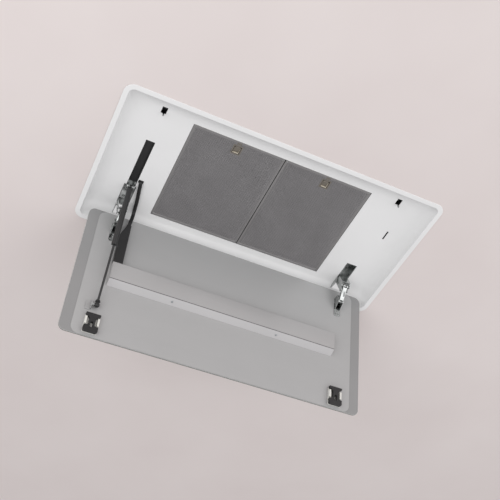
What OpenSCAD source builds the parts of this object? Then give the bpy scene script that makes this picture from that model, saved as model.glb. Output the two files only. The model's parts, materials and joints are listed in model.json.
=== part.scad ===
// Flush ceiling range hood insert, 900 mm class, with a drop-down glass door on linkage hinges.
// The origin is the middle of the ceiling opening, in the plane of the trim rim's lower face.
// X runs along the long side, Y points from the catch side to the hinge side, Z is up.
// The door stands open, as it hangs for cleaning. Its pieces are laid out shut and then swung open.

/* [Tray] */
// Length of the trim rim
rim_l = 900; // [890:10:1000]
// Width of the trim rim
rim_w = 440; // [436:2:460]
// Width of the flat band of the rim
rim_band = 13; // [10:1:14]
// Outer corner radius of the rim
rim_r = 26; // [20:1:30]
// Corner radius of the recess at the rim
mouth_r = 15; // [10:1:18]
// Corner radius of the recess at its floor
floor_r = 50; // [40:1:60]
// Depth of the recess
recess_d = 29.3; // [29:0.1:30]
// Sheet thickness of the tray
sheet_t = 1.2; // [0.8:0.1:1.4]
// Run of the curved wall in plan
wall_run = 40; // [30:1:44]

/* [Door] */
// Free space at each end of the glass pane
glass_gap_x = 23; // [13:1:37]
// Free space along each long edge of the glass pane
glass_gap_y = 19.5; // [18.5:0.5:20.5]
// Thickness of the glass pane
glass_t = 4; // [3.5:0.1:4.2]
// Corner radius of the glass pane
glass_r = 18; // [8:1:22]
// Thickness of the steel back plate
plate_t = 1; // [0.8:0.1:1]
// Bare glass beside the back plate
plate_margin_x = 29; // [20:1:34]
// Bare glass above and below the back plate
plate_margin_y = 1.5; // [1:0.5:4]
// Corner radius of the back plate
plate_r = 20; // [12:1:26]
// Opening angle of the door
open_angle = 104; // [102:1:105]

/* [Lamp] */
// Distance of the lamp housing from each end of the recess
lamp_room = 113; // [113:1:137]
// Distance of the lamp housing from the pane's hinge edge
lamp_s = 157; // [150:1:160]
// Width of the lamp housing's flat face
lamp_flat = 51; // [44:1:54]
// Width of the lamp housing's sloping face
lamp_slope = 12; // [10:1:16]
// Height of the lamp housing above the glass
lamp_h = 20; // [17:0.5:20]
// Wall of the lamp housing
lamp_wall = 1.2; // [1:0.1:1.5]
// Width of the lit strip
diffuser_w = 24; // [20:1:28]

/* [Hinges] */
// Middle of each hinge from the end of the pane
hinge_inset = 76; // [74:1:78]
// Distance of the swing centre inside the pane's hinge edge
pivot_inset = 5.5; // [5:0.5:6]
// Lower foot pin from the pane's hinge edge
foot_pin_s = 46.5; // [46:0.5:47]
// Lower foot pin above the glass
foot_pin_t = 20; // [19.8:0.1:20.2]
// Main link's pin in the channel from the swing centre
main_pin_back = 25; // [24.5:0.5:25.5]
// Main link's pin in the channel above the rim's lower face
main_pin_rise = 24; // [23.5:0.5:24.5]
// Thickness of a link plate
link_t = 1.5; // [1.3:0.1:1.5]
// Half width of a link plate at its pins
link_r = 5; // [4.5:0.1:5.2]
// Radius of the hinge pins
pin_r = 2; // [1.6:0.1:2]
// Height of the hinge channel's roof above the rim's lower face
channel_top = 68.5; // [68:0.5:74]

/* [Strut] */
// Middle of the strut from the middle of its hinge
strut_offset = 1.3; // [0:0.1:2]
// Outer radius of the strut tube
tube_r = 7.5; // [6:0.5:7.5]
// Radius of the strut rod
rod_r = 3; // [2:0.5:3.5]
// Length of the strut tube
tube_l = 165; // [164:0.5:166]
// Ball of the strut from the pane's catch edge
ball_inset = 85; // [84:0.5:86]
// Ball of the strut above the glass
ball_t = 12; // [12:0.5:13]

/* [Filters] */
// Distance of the filter opening from each end of the pane
filter_end_gap = 157; // [154:1:164]
// Tray floor between the filter opening and the catch side
filter_front = 45.5; // [44.5:0.5:49.5]
// Thickness of a filter cassette
filter_t = 9; // [8:0.5:10]
// Width of a cassette's edge frame
filter_band = 7; // [6:0.5:10]

/* [Blower] */
// Housing beyond each end of the filter opening
box_over_l = 33; // [28:1:38]
// Housing beyond each long edge of the filter opening
box_over_w = 15.5; // [14:0.5:18]
// Height of the housing
box_h = 200; // [198:1:220]
// Sheet thickness of the housing
box_t = 1; // [0.8:0.1:1.2]
// Distance of the fan wheel from the housing's long walls
wheel_room = 72.5; // [70.5:0.5:76.5]
// Blades of the fan wheel
blade_count = 36; // [24:2:40]
// Outer radius of the outlet collar
collar_r = 74.5; // [70:0.5:75]
// Length of the outlet collar outside the housing
collar_l = 55; // [50:1:70]

/* [Hidden] */

// Shared values: the overrun of cuts, a running fit, a free gap and the fineness of round faces
cut = 1;
fit = 0.05;
gap = 0.3;
round_n = 48;
small_n = 24;
corner_n = 8;
wall_n = 9;
right = 1;
left = -1;
sides = [left, right];

// Screws: head and shank of the small and the large size
screw_head_r = 3.6;
screw_head_h = 2;
screw_r = 1.9;
screw_hole_r = screw_r + fit;
recess_r = 1.7;
recess_h = 1.2;
bolt_head_r = 5.5;
bolt_head_h = 3;

// Sizes that follow from the rim
mouth_l = rim_l - 2 * rim_band;
mouth_w = rim_w - 2 * rim_band;
glass_l = mouth_l - 2 * glass_gap_x;
glass_w = mouth_w - 2 * glass_gap_y;
glass_edge_y = glass_w / 2;
lamp_half = mouth_l / 2 - lamp_room;
hinge_x = glass_l / 2 - hinge_inset;
pivot_y = glass_edge_y - pivot_inset;
strut_x = hinge_x - strut_offset;
ball_s = glass_w - ball_inset;
filter_back = 54.5;
filter_open_l = glass_l - 2 * filter_end_gap;
filter_open_w = mouth_w - filter_front - filter_back;
filter_y0 = filter_front - mouth_w / 2;
box_l = filter_open_l + 2 * box_over_l;
box_w = filter_open_w + 2 * box_over_w;
box_y = filter_y0 + filter_open_w / 2;
wheel_r = box_w / 2 - wheel_room;

white = [0.87, 0.87, 0.86];
zinc = [0.72, 0.74, 0.75];
chrome = [0.78, 0.80, 0.80];
black = [0.16, 0.16, 0.16];
steel_grey = [0.66, 0.66, 0.66];
glass_grey = [0.60, 0.60, 0.60];
mesh_grey = [0.44, 0.43, 0.44];
brass = [0.66, 0.58, 0.44];

// Places in the side view are pairs of Y and Z. A place on the door is given by s, its distance
// from the pane's hinge edge, and t, its height above the pane's inner face.
swing = [pivot_y, 0];
function turned(v, a) = [v[0] * cos(a) - v[1] * sin(a), v[0] * sin(a) + v[1] * cos(a)];
function shut(s, t) = [glass_edge_y - s, glass_t + t];
function hung(s, t) = swing + turned(shut(s, t) - swing, open_angle);
function unit(v) = v / norm(v);
function aside(v) = [v[1], -v[0]];

// Hinge pins. The main link and the wide link turn with the door about pins in the channel. The arm
// and the guide link join them to the foot and stay parallel to themselves, so that the door turns
// about the swing centre, where there is no pin.
main_pin = swing + [-main_pin_back, main_pin_rise];
wide_shift = [-9, 9];
wide_pin = main_pin + wide_shift;
foot_pin = hung(foot_pin_s, foot_pin_t);
knuckle_pin = foot_pin + main_pin - swing;
elbow_pin = knuckle_pin + wide_shift;
guide_length = 16;
guide_angle = 98.2;
guide_shift = guide_length * [cos(guide_angle), sin(guide_angle)];
guide_pin = knuckle_pin + guide_shift;
upper_foot_pin = foot_pin + guide_shift;

// Layers of the hinge from its middle outwards, one link plate thick with a free gap between
layer_gap = 1;
guide_half = 2;
arm_in = 4.5;
arm_out = arm_in + link_t;
foot_in = arm_out + layer_gap;
foot_out = foot_in + link_t;
main_in = foot_out + layer_gap;
main_out = main_in + link_t;
wide_in = main_out + layer_gap;
wide_out = wide_in + link_t;
wall_in = wide_out + layer_gap;
wall_out = wall_in + link_t;
rivet_head_r = 3.3;
rivet_head_h = 0.6;
hole_r = pin_r + fit;
guide_r = 4.5;
arm_web_t = 1.5;
wide_web_in = 9.3;
wide_web_t = 1.5;
wide_web_back = 5;

// Flat shapes in the side view, pushed along X between two places
module from_side(x0, x1) {
    translate([x0, 0, 0]) rotate([90, 0, 90]) linear_extrude(x1 - x0) children();
}
module both_layers(inner, outer) {
    from_side(inner, outer) children();
    from_side(-outer, -inner) children();
}
module bar(a, b, r) {
    n = aside(unit(b - a)) * r;
    translate(a) circle(r, $fn = small_n);
    translate(b) circle(r, $fn = small_n);
    polygon([a + n, b + n, b - n, a - n]);
}
module pin_hole(p) {
    translate(p) circle(hole_r, $fn = small_n);
}
module across(p, x0, x1, r) {
    translate([x0, p[0], p[1]]) rotate([0, 90, 0]) cylinder(r = r, h = x1 - x0, $fn = small_n);
}
module rivet(p, half) {
    across(p, -half, half, pin_r);
    across(p, half, half + rivet_head_h, rivet_head_r);
    across(p, -half - rivet_head_h, -half, rivet_head_r);
}
module at_hinges() {
    for (side = sides) translate([side * hinge_x, 0, 0]) children();
}
// Carries pieces of the shut door to where they hang
module hanging() {
    translate([0, pivot_y, 0]) rotate([open_angle, 0, 0]) translate([0, -pivot_y, 0]) children();
}
module on_door(x, s, t) {
    translate([x, glass_edge_y - s, glass_t + t]) children();
}
module door_slab(x0, x1, s0, s1, t0, t1) {
    on_door(x0, s1, t0) cube([x1 - x0, s1 - s0, t1 - t0]);
}
module rounded(l, w, r) {
    for (sx = sides) for (sy = sides)
        translate([sx * (l / 2 - r), sy * (w / 2 - r)]) circle(r, $fn = round_n);
    square([l - 2 * r, w], center = true);
    square([l, w - 2 * r], center = true);
}
module slab(l, w, r, h) {
    linear_extrude(h) rounded(l, w, r);
}
// A screw whose head sits on the plane z = 0, with its shank below it
module screw(l) {
    difference() {
        cylinder(r = screw_head_r, h = screw_head_h, $fn = small_n);
        translate([0, 0, screw_head_h - recess_h]) cylinder(r = recess_r, h = recess_h + cut, $fn = 6);
    }
    translate([0, 0, -l]) cylinder(r = screw_r, h = l, $fn = small_n);
}
module screw_hole(l) {
    translate([0, 0, -l]) cylinder(r = screw_hole_r, h = 2 * l, $fn = small_n);
}

// Tray: one pressed pan, lofted from its floor over the curved wall to the rim and back
floor_top = recess_d + sheet_t;
rim_soft = 0.8;
rim_t = 2;
function ring(l, w, r, z) = [for (q = [0:3]) for (k = [0:corner_n])
    let (a = 90 * (q + k / corner_n), sx = (q == 0 || q == 3) ? 1 : -1, sy = q < 2 ? 1 : -1)
    [sx * (l / 2 - r) + r * cos(a), sy * (w / 2 - r) + r * sin(a), z]];
function wall_ring(a, t) = ring(
    mouth_l - 2 * wall_run * (1 - sin(a)) + 2 * t * sin(a),
    mouth_w - 2 * wall_run * (1 - sin(a)) + 2 * t * sin(a),
    floor_r + (mouth_r - floor_r) * sin(a), (recess_d + t) * cos(a));
tray_rings = concat(
    [for (k = [0:wall_n]) wall_ring(90 * k / wall_n, 0)],
    [ring(rim_l - 2 * rim_soft, rim_w - 2 * rim_soft, rim_r, 0), ring(rim_l, rim_w, rim_r, rim_soft),
     ring(rim_l, rim_w, rim_r, rim_t), ring(mouth_l + 2 * sheet_t, mouth_w + 2 * sheet_t, mouth_r, rim_t)],
    [for (k = [wall_n - 1:-1:0]) wall_ring(90 * k / wall_n, sheet_t)]);
module loft(rings) {
    n = len(rings[0]);
    m = len(rings);
    polyhedron(points = [for (r = rings) for (p = r) p],
        faces = concat([[for (k = [0:n - 1]) k]],
            [for (i = [0:m - 2]) for (k = [0:n - 1]) let (j = (k + 1) % n)
                [i * n + k, (i + 1) * n + k, i * n + j]],
            [for (i = [0:m - 2]) for (k = [0:n - 1]) let (j = (k + 1) % n)
                [i * n + j, (i + 1) * n + k, (i + 1) * n + j]],
            [[for (k = [n - 1:-1:0]) (m - 1) * n + k]]));
}

// Openings of the tray floor
filter_y1 = filter_y0 + filter_open_w;
channel_l = 102;
channel_end_gap = 0.5;
channel_y1 = glass_edge_y - channel_end_gap;
channel_y0 = channel_y1 - channel_l;
channel_room = 0.7;
pocket_offset = 1;
pocket_x = hinge_x - pocket_offset;
pocket_half = 12;
pocket_l = 142;
pocket_gap = 11;
pocket_y1 = channel_y0 - pocket_gap;
pocket_y0 = pocket_y1 - pocket_l;
receptacle_x = hinge_x;
receptacle_inset = 21;
receptacle_y = receptacle_inset - glass_edge_y;
receptacle_l = 14;
receptacle_w = 19;
sensor_slot_inset = 70;
sensor_slot_x = mouth_l / 2 - sensor_slot_inset;
sensor_slot_y = -50;
sensor_slot_w = 4.6;
sensor_slot_l = 30;
grommet_offset = 21.5;
grommet_back = 23;
grommet_x = grommet_offset - hinge_x;
grommet_y = channel_y0 - grommet_back;
grommet_l = 10.2;
grommet_w = 5;
grommet_wall = 1.2;
grommet_lip = 0.9;
module floor_hole(x, y0, y1, half) {
    translate([x - half, y0, 0]) cube([2 * half, y1 - y0, floor_top + cut]);
}
module tray() {
    color(white) difference() {
        loft(tray_rings);
        floor_hole(0, filter_y0, filter_y1, filter_open_l / 2);
        for (side = sides) {
            floor_hole(side * hinge_x, channel_y0 - channel_room, channel_y1 + channel_room,
                wall_out + channel_room);
            floor_hole(side * receptacle_x, receptacle_y - receptacle_w / 2, receptacle_y + receptacle_w / 2,
                receptacle_l / 2);
        }
        floor_hole(-pocket_x, pocket_y0, channel_y0, pocket_half);
        floor_hole(sensor_slot_x, sensor_slot_y - sensor_slot_l / 2, sensor_slot_y + sensor_slot_l / 2,
            sensor_slot_w / 2);
        floor_hole(grommet_x, grommet_y - grommet_w / 2 - grommet_wall,
            grommet_y + grommet_w / 2 + grommet_wall, grommet_l / 2 + grommet_wall);
    }
}

// Housing: galvanised box over the filter opening, with a foot flange and a round outlet
box_flange = 14;
box_top = floor_top + box_h;
box_roof = box_top - box_t;
scroll_z0 = 60;
scroll_room = 29.5;
scroll_h = box_roof - scroll_room - scroll_z0;
outlet_z = scroll_z0 + scroll_h / 2;
collar_t = 1.2;
outlet_hole_r = collar_r - collar_t;
gland_r = 9;
gland_y = 70;
gland_z = 150;
stud_shares = [-0.4, -0.15, 0.15, 0.4];
stud_nut_r = 5.5;
stud_nut_h = 3;
weld_stud_r = 2.9;
stud_tip = 1.5;
// A welded stud with its nut, for a plate of the given thickness
module stud_nut(plate) {
    cylinder(r = weld_stud_r, h = plate + stud_nut_h + stud_tip, $fn = small_n);
    translate([0, 0, plate]) cylinder(r = stud_nut_r, h = stud_nut_h, $fn = 6);
}
module at_foot_studs() {
    for (side = sides) for (share = stud_shares)
        translate([side * (box_l + box_flange) / 2, box_y + share * box_w, floor_top]) children();
}
module housing() {
    color(zinc) difference() {
        union() {
            translate([-box_l / 2, box_y - box_w / 2, floor_top]) cube([box_l, box_w, box_h]);
            translate([-box_l / 2 - box_flange, box_y - box_w / 2, floor_top])
                cube([box_l + 2 * box_flange, box_w, box_t]);
        }
        translate([-box_l / 2 + box_t, box_y - box_w / 2 + box_t, floor_top - cut])
            cube([box_l - 2 * box_t, box_w - 2 * box_t, box_h - box_t + cut]);
        translate([box_l / 2 - box_t - cut, outlet_y, outlet_z]) rotate([0, 90, 0])
            cylinder(r = outlet_hole_r, h = box_t + 2 * cut, $fn = round_n);
        translate([-box_l / 2 - cut, gland_y, gland_z]) rotate([0, 90, 0])
            cylinder(r = gland_r + fit, h = box_t + 2 * cut, $fn = round_n);
        at_foot_studs() translate([0, 0, -cut])
            cylinder(r = weld_stud_r + fit, h = box_t + 2 * cut, $fn = small_n);
    }
}

// Suspension brackets: four angles on the end walls, each with a hole for a threaded rod
hang_out = 25;
hang_in = 22.5;
hang_low = 1.5;
hang_x = box_l / 2 + hang_out;
hang_y = box_w / 2 - hang_in;
hang_z = box_top - hang_low;
hang_hole_r = 4.5;
hang_w = 32;
hang_t = 2.5;
hang_drop = 40;
hang_tip = 18;
module at_bracket_studs() {
    for (k = sides) translate([box_l / 2, k * hang_w / 4, hang_z - hang_drop / 2])
        rotate([0, 90, 0]) children();
}
module bracket() {
    difference() {
        union() {
            translate([box_l / 2, -hang_w / 2, hang_z - hang_t]) cube([hang_x - box_l / 2, hang_w, hang_t]);
            translate([hang_x, 0, hang_z - hang_t]) slab(2 * hang_tip, hang_w, hang_tip / 2, hang_t);
            translate([box_l / 2, -hang_w / 2, hang_z - hang_drop]) cube([hang_t, hang_w, hang_drop]);
        }
        translate([hang_x, 0, hang_z - hang_t - cut])
            cylinder(r = hang_hole_r, h = hang_t + 2 * cut, $fn = round_n);
        at_bracket_studs() translate([0, 0, -cut])
            cylinder(r = weld_stud_r + fit, h = hang_t + 2 * cut, $fn = small_n);
    }
}
module at_brackets() {
    for (turn = [0, 180]) for (y = sides)
        translate([0, box_y, 0]) rotate([0, 0, turn]) translate([0, y * hang_y, 0]) children();
}
module suspension_brackets() {
    color(zinc) at_brackets() bracket();
}
module stud_nuts() {
    color(zinc) {
        at_foot_studs() stud_nut(box_t);
        at_brackets() at_bracket_studs() stud_nut(hang_t);
    }
}

// Filter seat: a frame on the tray floor that stops the cassettes, with notches for their tongues
seat_t = 1;
seat_w = 9;
seat_lip = 6;
filter_z0 = recess_d + 2 * gap;
filter_z1 = filter_z0 + filter_t;
seat_z = filter_z1 + gap;
tongue_x = filter_open_l / 4;
tongue_half = 6;
tongue_reach = 3;
tongue_z0 = floor_top + gap;
tongue_t = 1.5;
tongue_room = 1;
hook_shares = [0.1, 0.4];
hook_half = 8;
notch_top = filter_z0 + norm([tongue_reach, tongue_z0 + tongue_t - filter_z0]) + gap;
module seat_notch(x, y, half) {
    translate([x - half - tongue_room, y - tongue_reach - tongue_room, floor_top - cut])
        cube([2 * (half + tongue_room), 2 * (tongue_reach + tongue_room), notch_top + cut - floor_top]);
}
module filter_seat() {
    color(zinc) difference() {
        translate([-filter_open_l / 2 - seat_w, filter_y0 - seat_w, floor_top])
            cube([filter_open_l + 2 * seat_w, filter_open_w + 2 * seat_w, seat_z + seat_t - floor_top]);
        translate([-filter_open_l / 2, filter_y0, floor_top - cut])
            cube([filter_open_l, filter_open_w, seat_z - floor_top + cut]);
        for (side = sides) {
            translate([side * filter_open_l / 4 - filter_open_l / 4 + seat_lip,
                filter_y0 + seat_lip, seat_z - cut])
                cube([filter_open_l / 2 - 2 * seat_lip, filter_open_w - 2 * seat_lip, seat_t + 2 * cut]);
            seat_notch(side * tongue_x, filter_y0, tongue_half);
            for (share = hook_shares) seat_notch(side * share * filter_open_l, filter_y1, hook_half);
        }
    }
}

// Filter cassettes: an edge frame, a mesh pack and a sprung latch in a cup
mid_gap = 2;
edge_gap = 1;
cassette_l = filter_open_l / 2 - edge_gap - mid_gap / 2;
cassette_w = filter_open_w - 2 * edge_gap;
cassette_x = mid_gap / 2 + cassette_l / 2;
cassette_y = (filter_y0 + filter_y1) / 2;
cassette_r = 3;
cup_l = 20;
cup_w = 22;
cup_inset = 27;
cup_y = filter_y0 + cup_inset;
cup_wall = 1;
cup_d = 6;
latch_x = tongue_x;
latch_room = 1;
latch_travel = 4;
mesh_inset = 1;
module cassette_frame(side) {
    color(steel_grey) difference() {
        translate([side * cassette_x, cassette_y, filter_z0])
            slab(cassette_l, cassette_w, cassette_r, filter_t);
        translate([side * cassette_x, cassette_y, filter_z0 - cut])
            slab(cassette_l - 2 * filter_band, cassette_w - 2 * filter_band, cassette_r, filter_t + 2 * cut);
        translate([side * latch_x - tongue_half - gap, filter_y0, tongue_z0 - gap])
            cube([2 * (tongue_half + gap), filter_band + 2 * edge_gap, tongue_t + 2 * gap]);
    }
    color(steel_grey) for (share = hook_shares)
        translate([side * share * filter_open_l - hook_half, filter_y1 - edge_gap, tongue_z0])
            cube([2 * hook_half, edge_gap + tongue_reach, tongue_t]);
}
module cassette_mesh(side) {
    color(mesh_grey) difference() {
        translate([side * cassette_x, cassette_y, filter_z0 + mesh_inset])
            slab(cassette_l - 2 * filter_band, cassette_w - 2 * filter_band, cassette_r,
                filter_t - 2 * mesh_inset);
        translate([side * latch_x - cup_l / 2, cup_y - cup_w / 2, filter_z0])
            cube([cup_l, cup_w, cup_d]);
        translate([side * latch_x - tongue_half - gap, filter_y0 + edge_gap, tongue_z0 - gap])
            cube([2 * (tongue_half + gap), cup_y - filter_y0, tongue_t + 2 * gap]);
    }
}
// The latch: a finger plate in the cup, and a tongue that reaches over the edge of the tray floor
// when it is pushed home. It is drawn pulled back, so that the cassette is free to tilt.
module cassette_latch(side) {
    color(brass) translate([side * latch_x, latch_travel, 0]) {
        difference() {
            translate([-cup_l / 2 + latch_room, cup_y - cup_w / 2 + latch_room, tongue_z0])
                cube([cup_l - 2 * latch_room, cup_w - 2 * latch_room - latch_travel,
                    filter_z0 + cup_d - tongue_z0 - gap]);
            translate([latch_room + cup_wall - cup_l / 2, cup_y - cup_w / 2 + latch_room + cup_wall,
                filter_z0])
                cube([cup_l - 2 * latch_room - 2 * cup_wall,
                    cup_w - 2 * latch_room - latch_travel - 2 * cup_wall,
                    cup_d - gap - cup_wall]);
        }
        translate([-tongue_half, filter_y0 - tongue_reach, tongue_z0])
            cube([2 * tongue_half, cup_y - cup_w / 2 + 2 * latch_room - filter_y0 + tongue_reach, tongue_t]);
    }
}
module filter_frame_left() { cassette_frame(left); }
module filter_mesh_left() { cassette_mesh(left); }
module filter_latch_left() { cassette_latch(left); }
module filter_frame_right() { cassette_frame(right); }
module filter_mesh_right() { cassette_mesh(right); }
module filter_latch_right() { cassette_latch(right); }

// Blower scroll: the wall's radius grows evenly from the tongue to the outlet side
fan_in = 250;
fan_back = 15.5;
fan_x = box_l / 2 - fan_in;
fan_y = box_y + fan_back;
scroll_gap = 8;
scroll_growth = 50;
scroll_r0 = wheel_r + scroll_gap;
scroll_r1 = scroll_r0 + scroll_growth;
scroll_t = 1.2;
tongue_angle = 5;
scroll_sweep = 270 + tongue_angle;
scroll_steps = 55;
inlet_inset = 20;
inlet_r = wheel_r - inlet_inset;
outlet_y = fan_y - (scroll_r1 + scroll_r0 * sin(tongue_angle)) / 2;
scroll_end = box_l / 2 - box_t;
module scroll_outline(inset) {
    spiral = [for (k = [0:scroll_steps]) let (share = k / scroll_steps,
        a = tongue_angle - scroll_sweep * share,
        r = scroll_r0 + (scroll_r1 - scroll_r0) * share - inset) [fan_x + r * cos(a), fan_y - r * sin(a)]];
    polygon(concat(spiral, [[scroll_end + (inset > 0 ? cut : 0), fan_y - scroll_r1 + inset],
        [scroll_end + (inset > 0 ? cut : 0), fan_y - scroll_r0 * sin(tongue_angle) - inset]]));
}
module blower_scroll() {
    color(zinc) difference() {
        translate([0, 0, scroll_z0]) linear_extrude(scroll_h) scroll_outline(0);
        translate([0, 0, scroll_z0 + scroll_t]) linear_extrude(scroll_h - 2 * scroll_t)
            scroll_outline(scroll_t);
        translate([fan_x, fan_y, scroll_z0 - cut])
            cylinder(r = inlet_r, h = scroll_h + 2 * cut, $fn = round_n);
    }
}
ring_lip = 8;
ring_depth = 6;
module inlet_ring() {
    rotate_extrude($fn = round_n) polygon([[inlet_r + ring_lip, 0], [inlet_r + ring_lip, scroll_t],
        [inlet_r, scroll_t], [inlet_r - scroll_t, 2 * scroll_t], [inlet_r - 2 * scroll_t, ring_depth],
        [inlet_r - 3 * scroll_t, ring_depth], [inlet_r - 2 * scroll_t, scroll_t], [inlet_r - scroll_t, 0]]);
}
module inlet_rings() {
    color(zinc) translate([fan_x, fan_y, scroll_z0 - scroll_t]) inlet_ring();
    color(zinc) translate([fan_x, fan_y, scroll_z0 + scroll_h + scroll_t]) rotate([180, 0, 0]) inlet_ring();
}
// Blower mounts: posts with a waist that hang the scroll from the housing roof
mount_shares = [[-0.9, -0.75], [-0.9, 0.75], [0.55, -0.72], [0.95, 0.9]];
mount_r = 7;
mount_waist_r = 5;
module blower_mounts() {
    h = box_roof - scroll_z0 - scroll_h;
    color(black) for (share = mount_shares)
        translate([fan_x + share[0] * scroll_r0, fan_y - share[1] * scroll_r0, scroll_z0 + scroll_h]) {
            cylinder(r = mount_r, h = h / 3, $fn = small_n);
            cylinder(r = mount_waist_r, h = h, $fn = small_n);
            translate([0, 0, 2 * h / 3]) cylinder(r = mount_r, h = h / 3, $fn = small_n);
        }
}

// Motor in the upper inlet, on a bracket with three arms
motor_gap = 58;
motor_r = wheel_r - motor_gap;
motor_z0 = 138;
motor_room = 68;
motor_h = scroll_h - motor_room;
motor_step = 12;
motor_cap_r = motor_r - motor_step;
motor_cap_h = 8;
shaft_r = 4;
bracket_t = 3;
bracket_arm_w = 16;
motor_ring_w = 6;
module motor() {
    color(steel_grey) translate([fan_x, fan_y, motor_z0]) difference() {
        union() {
            cylinder(r = motor_r, h = motor_h, $fn = round_n);
            translate([0, 0, -motor_cap_h])
                cylinder(r = motor_cap_r, h = motor_h + 2 * motor_cap_h, $fn = round_n);
        }
        translate([0, 0, -motor_cap_h - cut]) cylinder(r = shaft_r + fit, h = motor_h + cut, $fn = small_n);
    }
}
module motor_bracket() {
    z = scroll_z0 + scroll_h + scroll_t;
    color(zinc) translate([fan_x, fan_y, z]) difference() {
        union() {
            cylinder(r = motor_r + motor_ring_w, h = bracket_t, $fn = round_n);
            for (turn = [0:120:240]) rotate([0, 0, turn])
                translate([0, -bracket_arm_w / 2, 0]) cube([inlet_r + ring_lip, bracket_arm_w, bracket_t]);
        }
        translate([0, 0, -cut]) cylinder(r = motor_r, h = bracket_t + 2 * cut, $fn = round_n);
    }
}

// Fan wheel: forward-curved blades between two end rings, with a hub plate in the middle
wheel_z0 = 68;
wheel_gap = 18;
wheel_h = scroll_h - wheel_gap;
wheel_ring_t = 2;
wheel_ring_w = 12;
blade_w = 14;
blade_t = 0.9;
blade_lean = 30;
blade_turn = 55;
blade_bend_r = 22;
blade_steps = 5;
hub_r = 14;
hub_h = 16;
hub_plate_z = 118;
module blade() {
    foot = wheel_r - blade_w - blade_bend_r * sin(blade_lean);
    function at(k, r) = let (a = blade_lean + blade_turn * k / blade_steps)
        [foot + r * sin(a), blade_bend_r * cos(blade_lean) - r * cos(a)];
    intersection() {
        polygon(concat([for (k = [0:blade_steps]) at(k, blade_bend_r)],
            [for (k = [blade_steps:-1:0]) at(k, blade_bend_r - blade_t)]));
        circle(wheel_r - blade_t, $fn = round_n);
    }
}
module fan_wheel() {
    color(steel_grey) translate([fan_x, fan_y, 0]) difference() {
        union() {
            for (z = [wheel_z0, wheel_z0 + wheel_h - wheel_ring_t]) translate([0, 0, z]) difference() {
                cylinder(r = wheel_r, h = wheel_ring_t, $fn = round_n);
                translate([0, 0, -cut])
                    cylinder(r = wheel_r - wheel_ring_w, h = wheel_ring_t + 2 * cut, $fn = round_n);
            }
            translate([0, 0, hub_plate_z]) cylinder(r = wheel_r - blade_t, h = wheel_ring_t, $fn = round_n);
            translate([0, 0, hub_plate_z - hub_h / 2]) cylinder(r = hub_r, h = hub_h, $fn = round_n);
            translate([0, 0, wheel_z0 + wheel_ring_t / 2]) linear_extrude(wheel_h - wheel_ring_t)
                for (k = [1:blade_count]) rotate(360 * k / blade_count) mirror([0, 1]) blade();
        }
        translate([0, 0, hub_plate_z - hub_h]) cylinder(r = shaft_r + fit, h = 2 * hub_h, $fn = small_n);
    }
}
module fan_shaft() {
    z0 = hub_plate_z - hub_h / 2 - screw_head_h;
    color(chrome) translate([fan_x, fan_y, z0]) {
        cylinder(r = shaft_r, h = motor_z0 + motor_h / 2 - z0, $fn = small_n);
        cylinder(r = screw_head_r + shaft_r / 2, h = screw_head_h - gap / 2, $fn = small_n);
    }
}

// Outlet collar with two half-round flaps on one upright axle
collar_flange = 8;
axle_r = 1.5;
flap_t = 1.2;
flap_out = 12;
flap_x = box_l / 2 + flap_out;
knuckle_r = 3;
flap_room = 1.3;
flap_r = outlet_hole_r - flap_room;
flap_knuckles = 4;
barrel_share = 0.9;
flap_gap = 0.5;
module outlet_collar() {
    color(zinc) translate([box_l / 2, outlet_y, outlet_z]) rotate([0, 90, 0]) difference() {
        union() {
            cylinder(r = collar_r, h = collar_l, $fn = round_n);
            cylinder(r = collar_r + collar_flange, h = collar_t, $fn = round_n);
        }
        translate([0, 0, -cut]) cylinder(r = outlet_hole_r, h = collar_l + 2 * cut, $fn = round_n);
        translate([-collar_r - cut, 0, flap_x - box_l / 2]) rotate([0, 90, 0])
            cylinder(r = axle_r + fit, h = 2 * (collar_r + cut), $fn = small_n);
    }
}
module flap_axle() {
    color(chrome) translate([flap_x, outlet_y, outlet_z - collar_r])
        cylinder(r = axle_r, h = 2 * collar_r, $fn = small_n);
}
module flap(side) {
    pitch = 2 * flap_r * barrel_share / flap_knuckles;
    color(steel_grey) translate([flap_x, outlet_y, outlet_z]) difference() {
        union() {
            intersection() {
                translate([-knuckle_r, 0, 0]) rotate([0, 90, 0])
                    cylinder(r = flap_r, h = flap_t, $fn = round_n);
                translate([-knuckle_r, side > 0 ? flap_gap : -flap_r, -flap_r])
                    cube([knuckle_r, flap_r - flap_gap, 2 * flap_r]);
            }
            for (k = [0:flap_knuckles - 1]) if ((k % 2 == 0) == (side > 0))
                translate([0, 0, (k - flap_knuckles / 2) * pitch + flap_gap])
                    cylinder(r = knuckle_r, h = pitch - 2 * flap_gap, $fn = small_n);
        }
        translate([0, 0, -flap_r - cut]) cylinder(r = axle_r + fit, h = 2 * (flap_r + cut), $fn = small_n);
        for (k = [0:flap_knuckles - 1]) if ((k % 2 == 0) != (side > 0))
            translate([0, 0, (k - flap_knuckles / 2) * pitch])
                cylinder(r = knuckle_r + flap_gap, h = pitch, $fn = small_n);
    }
}
module flap_left() { flap(left); }
module flap_right() { flap(right); }

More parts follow.
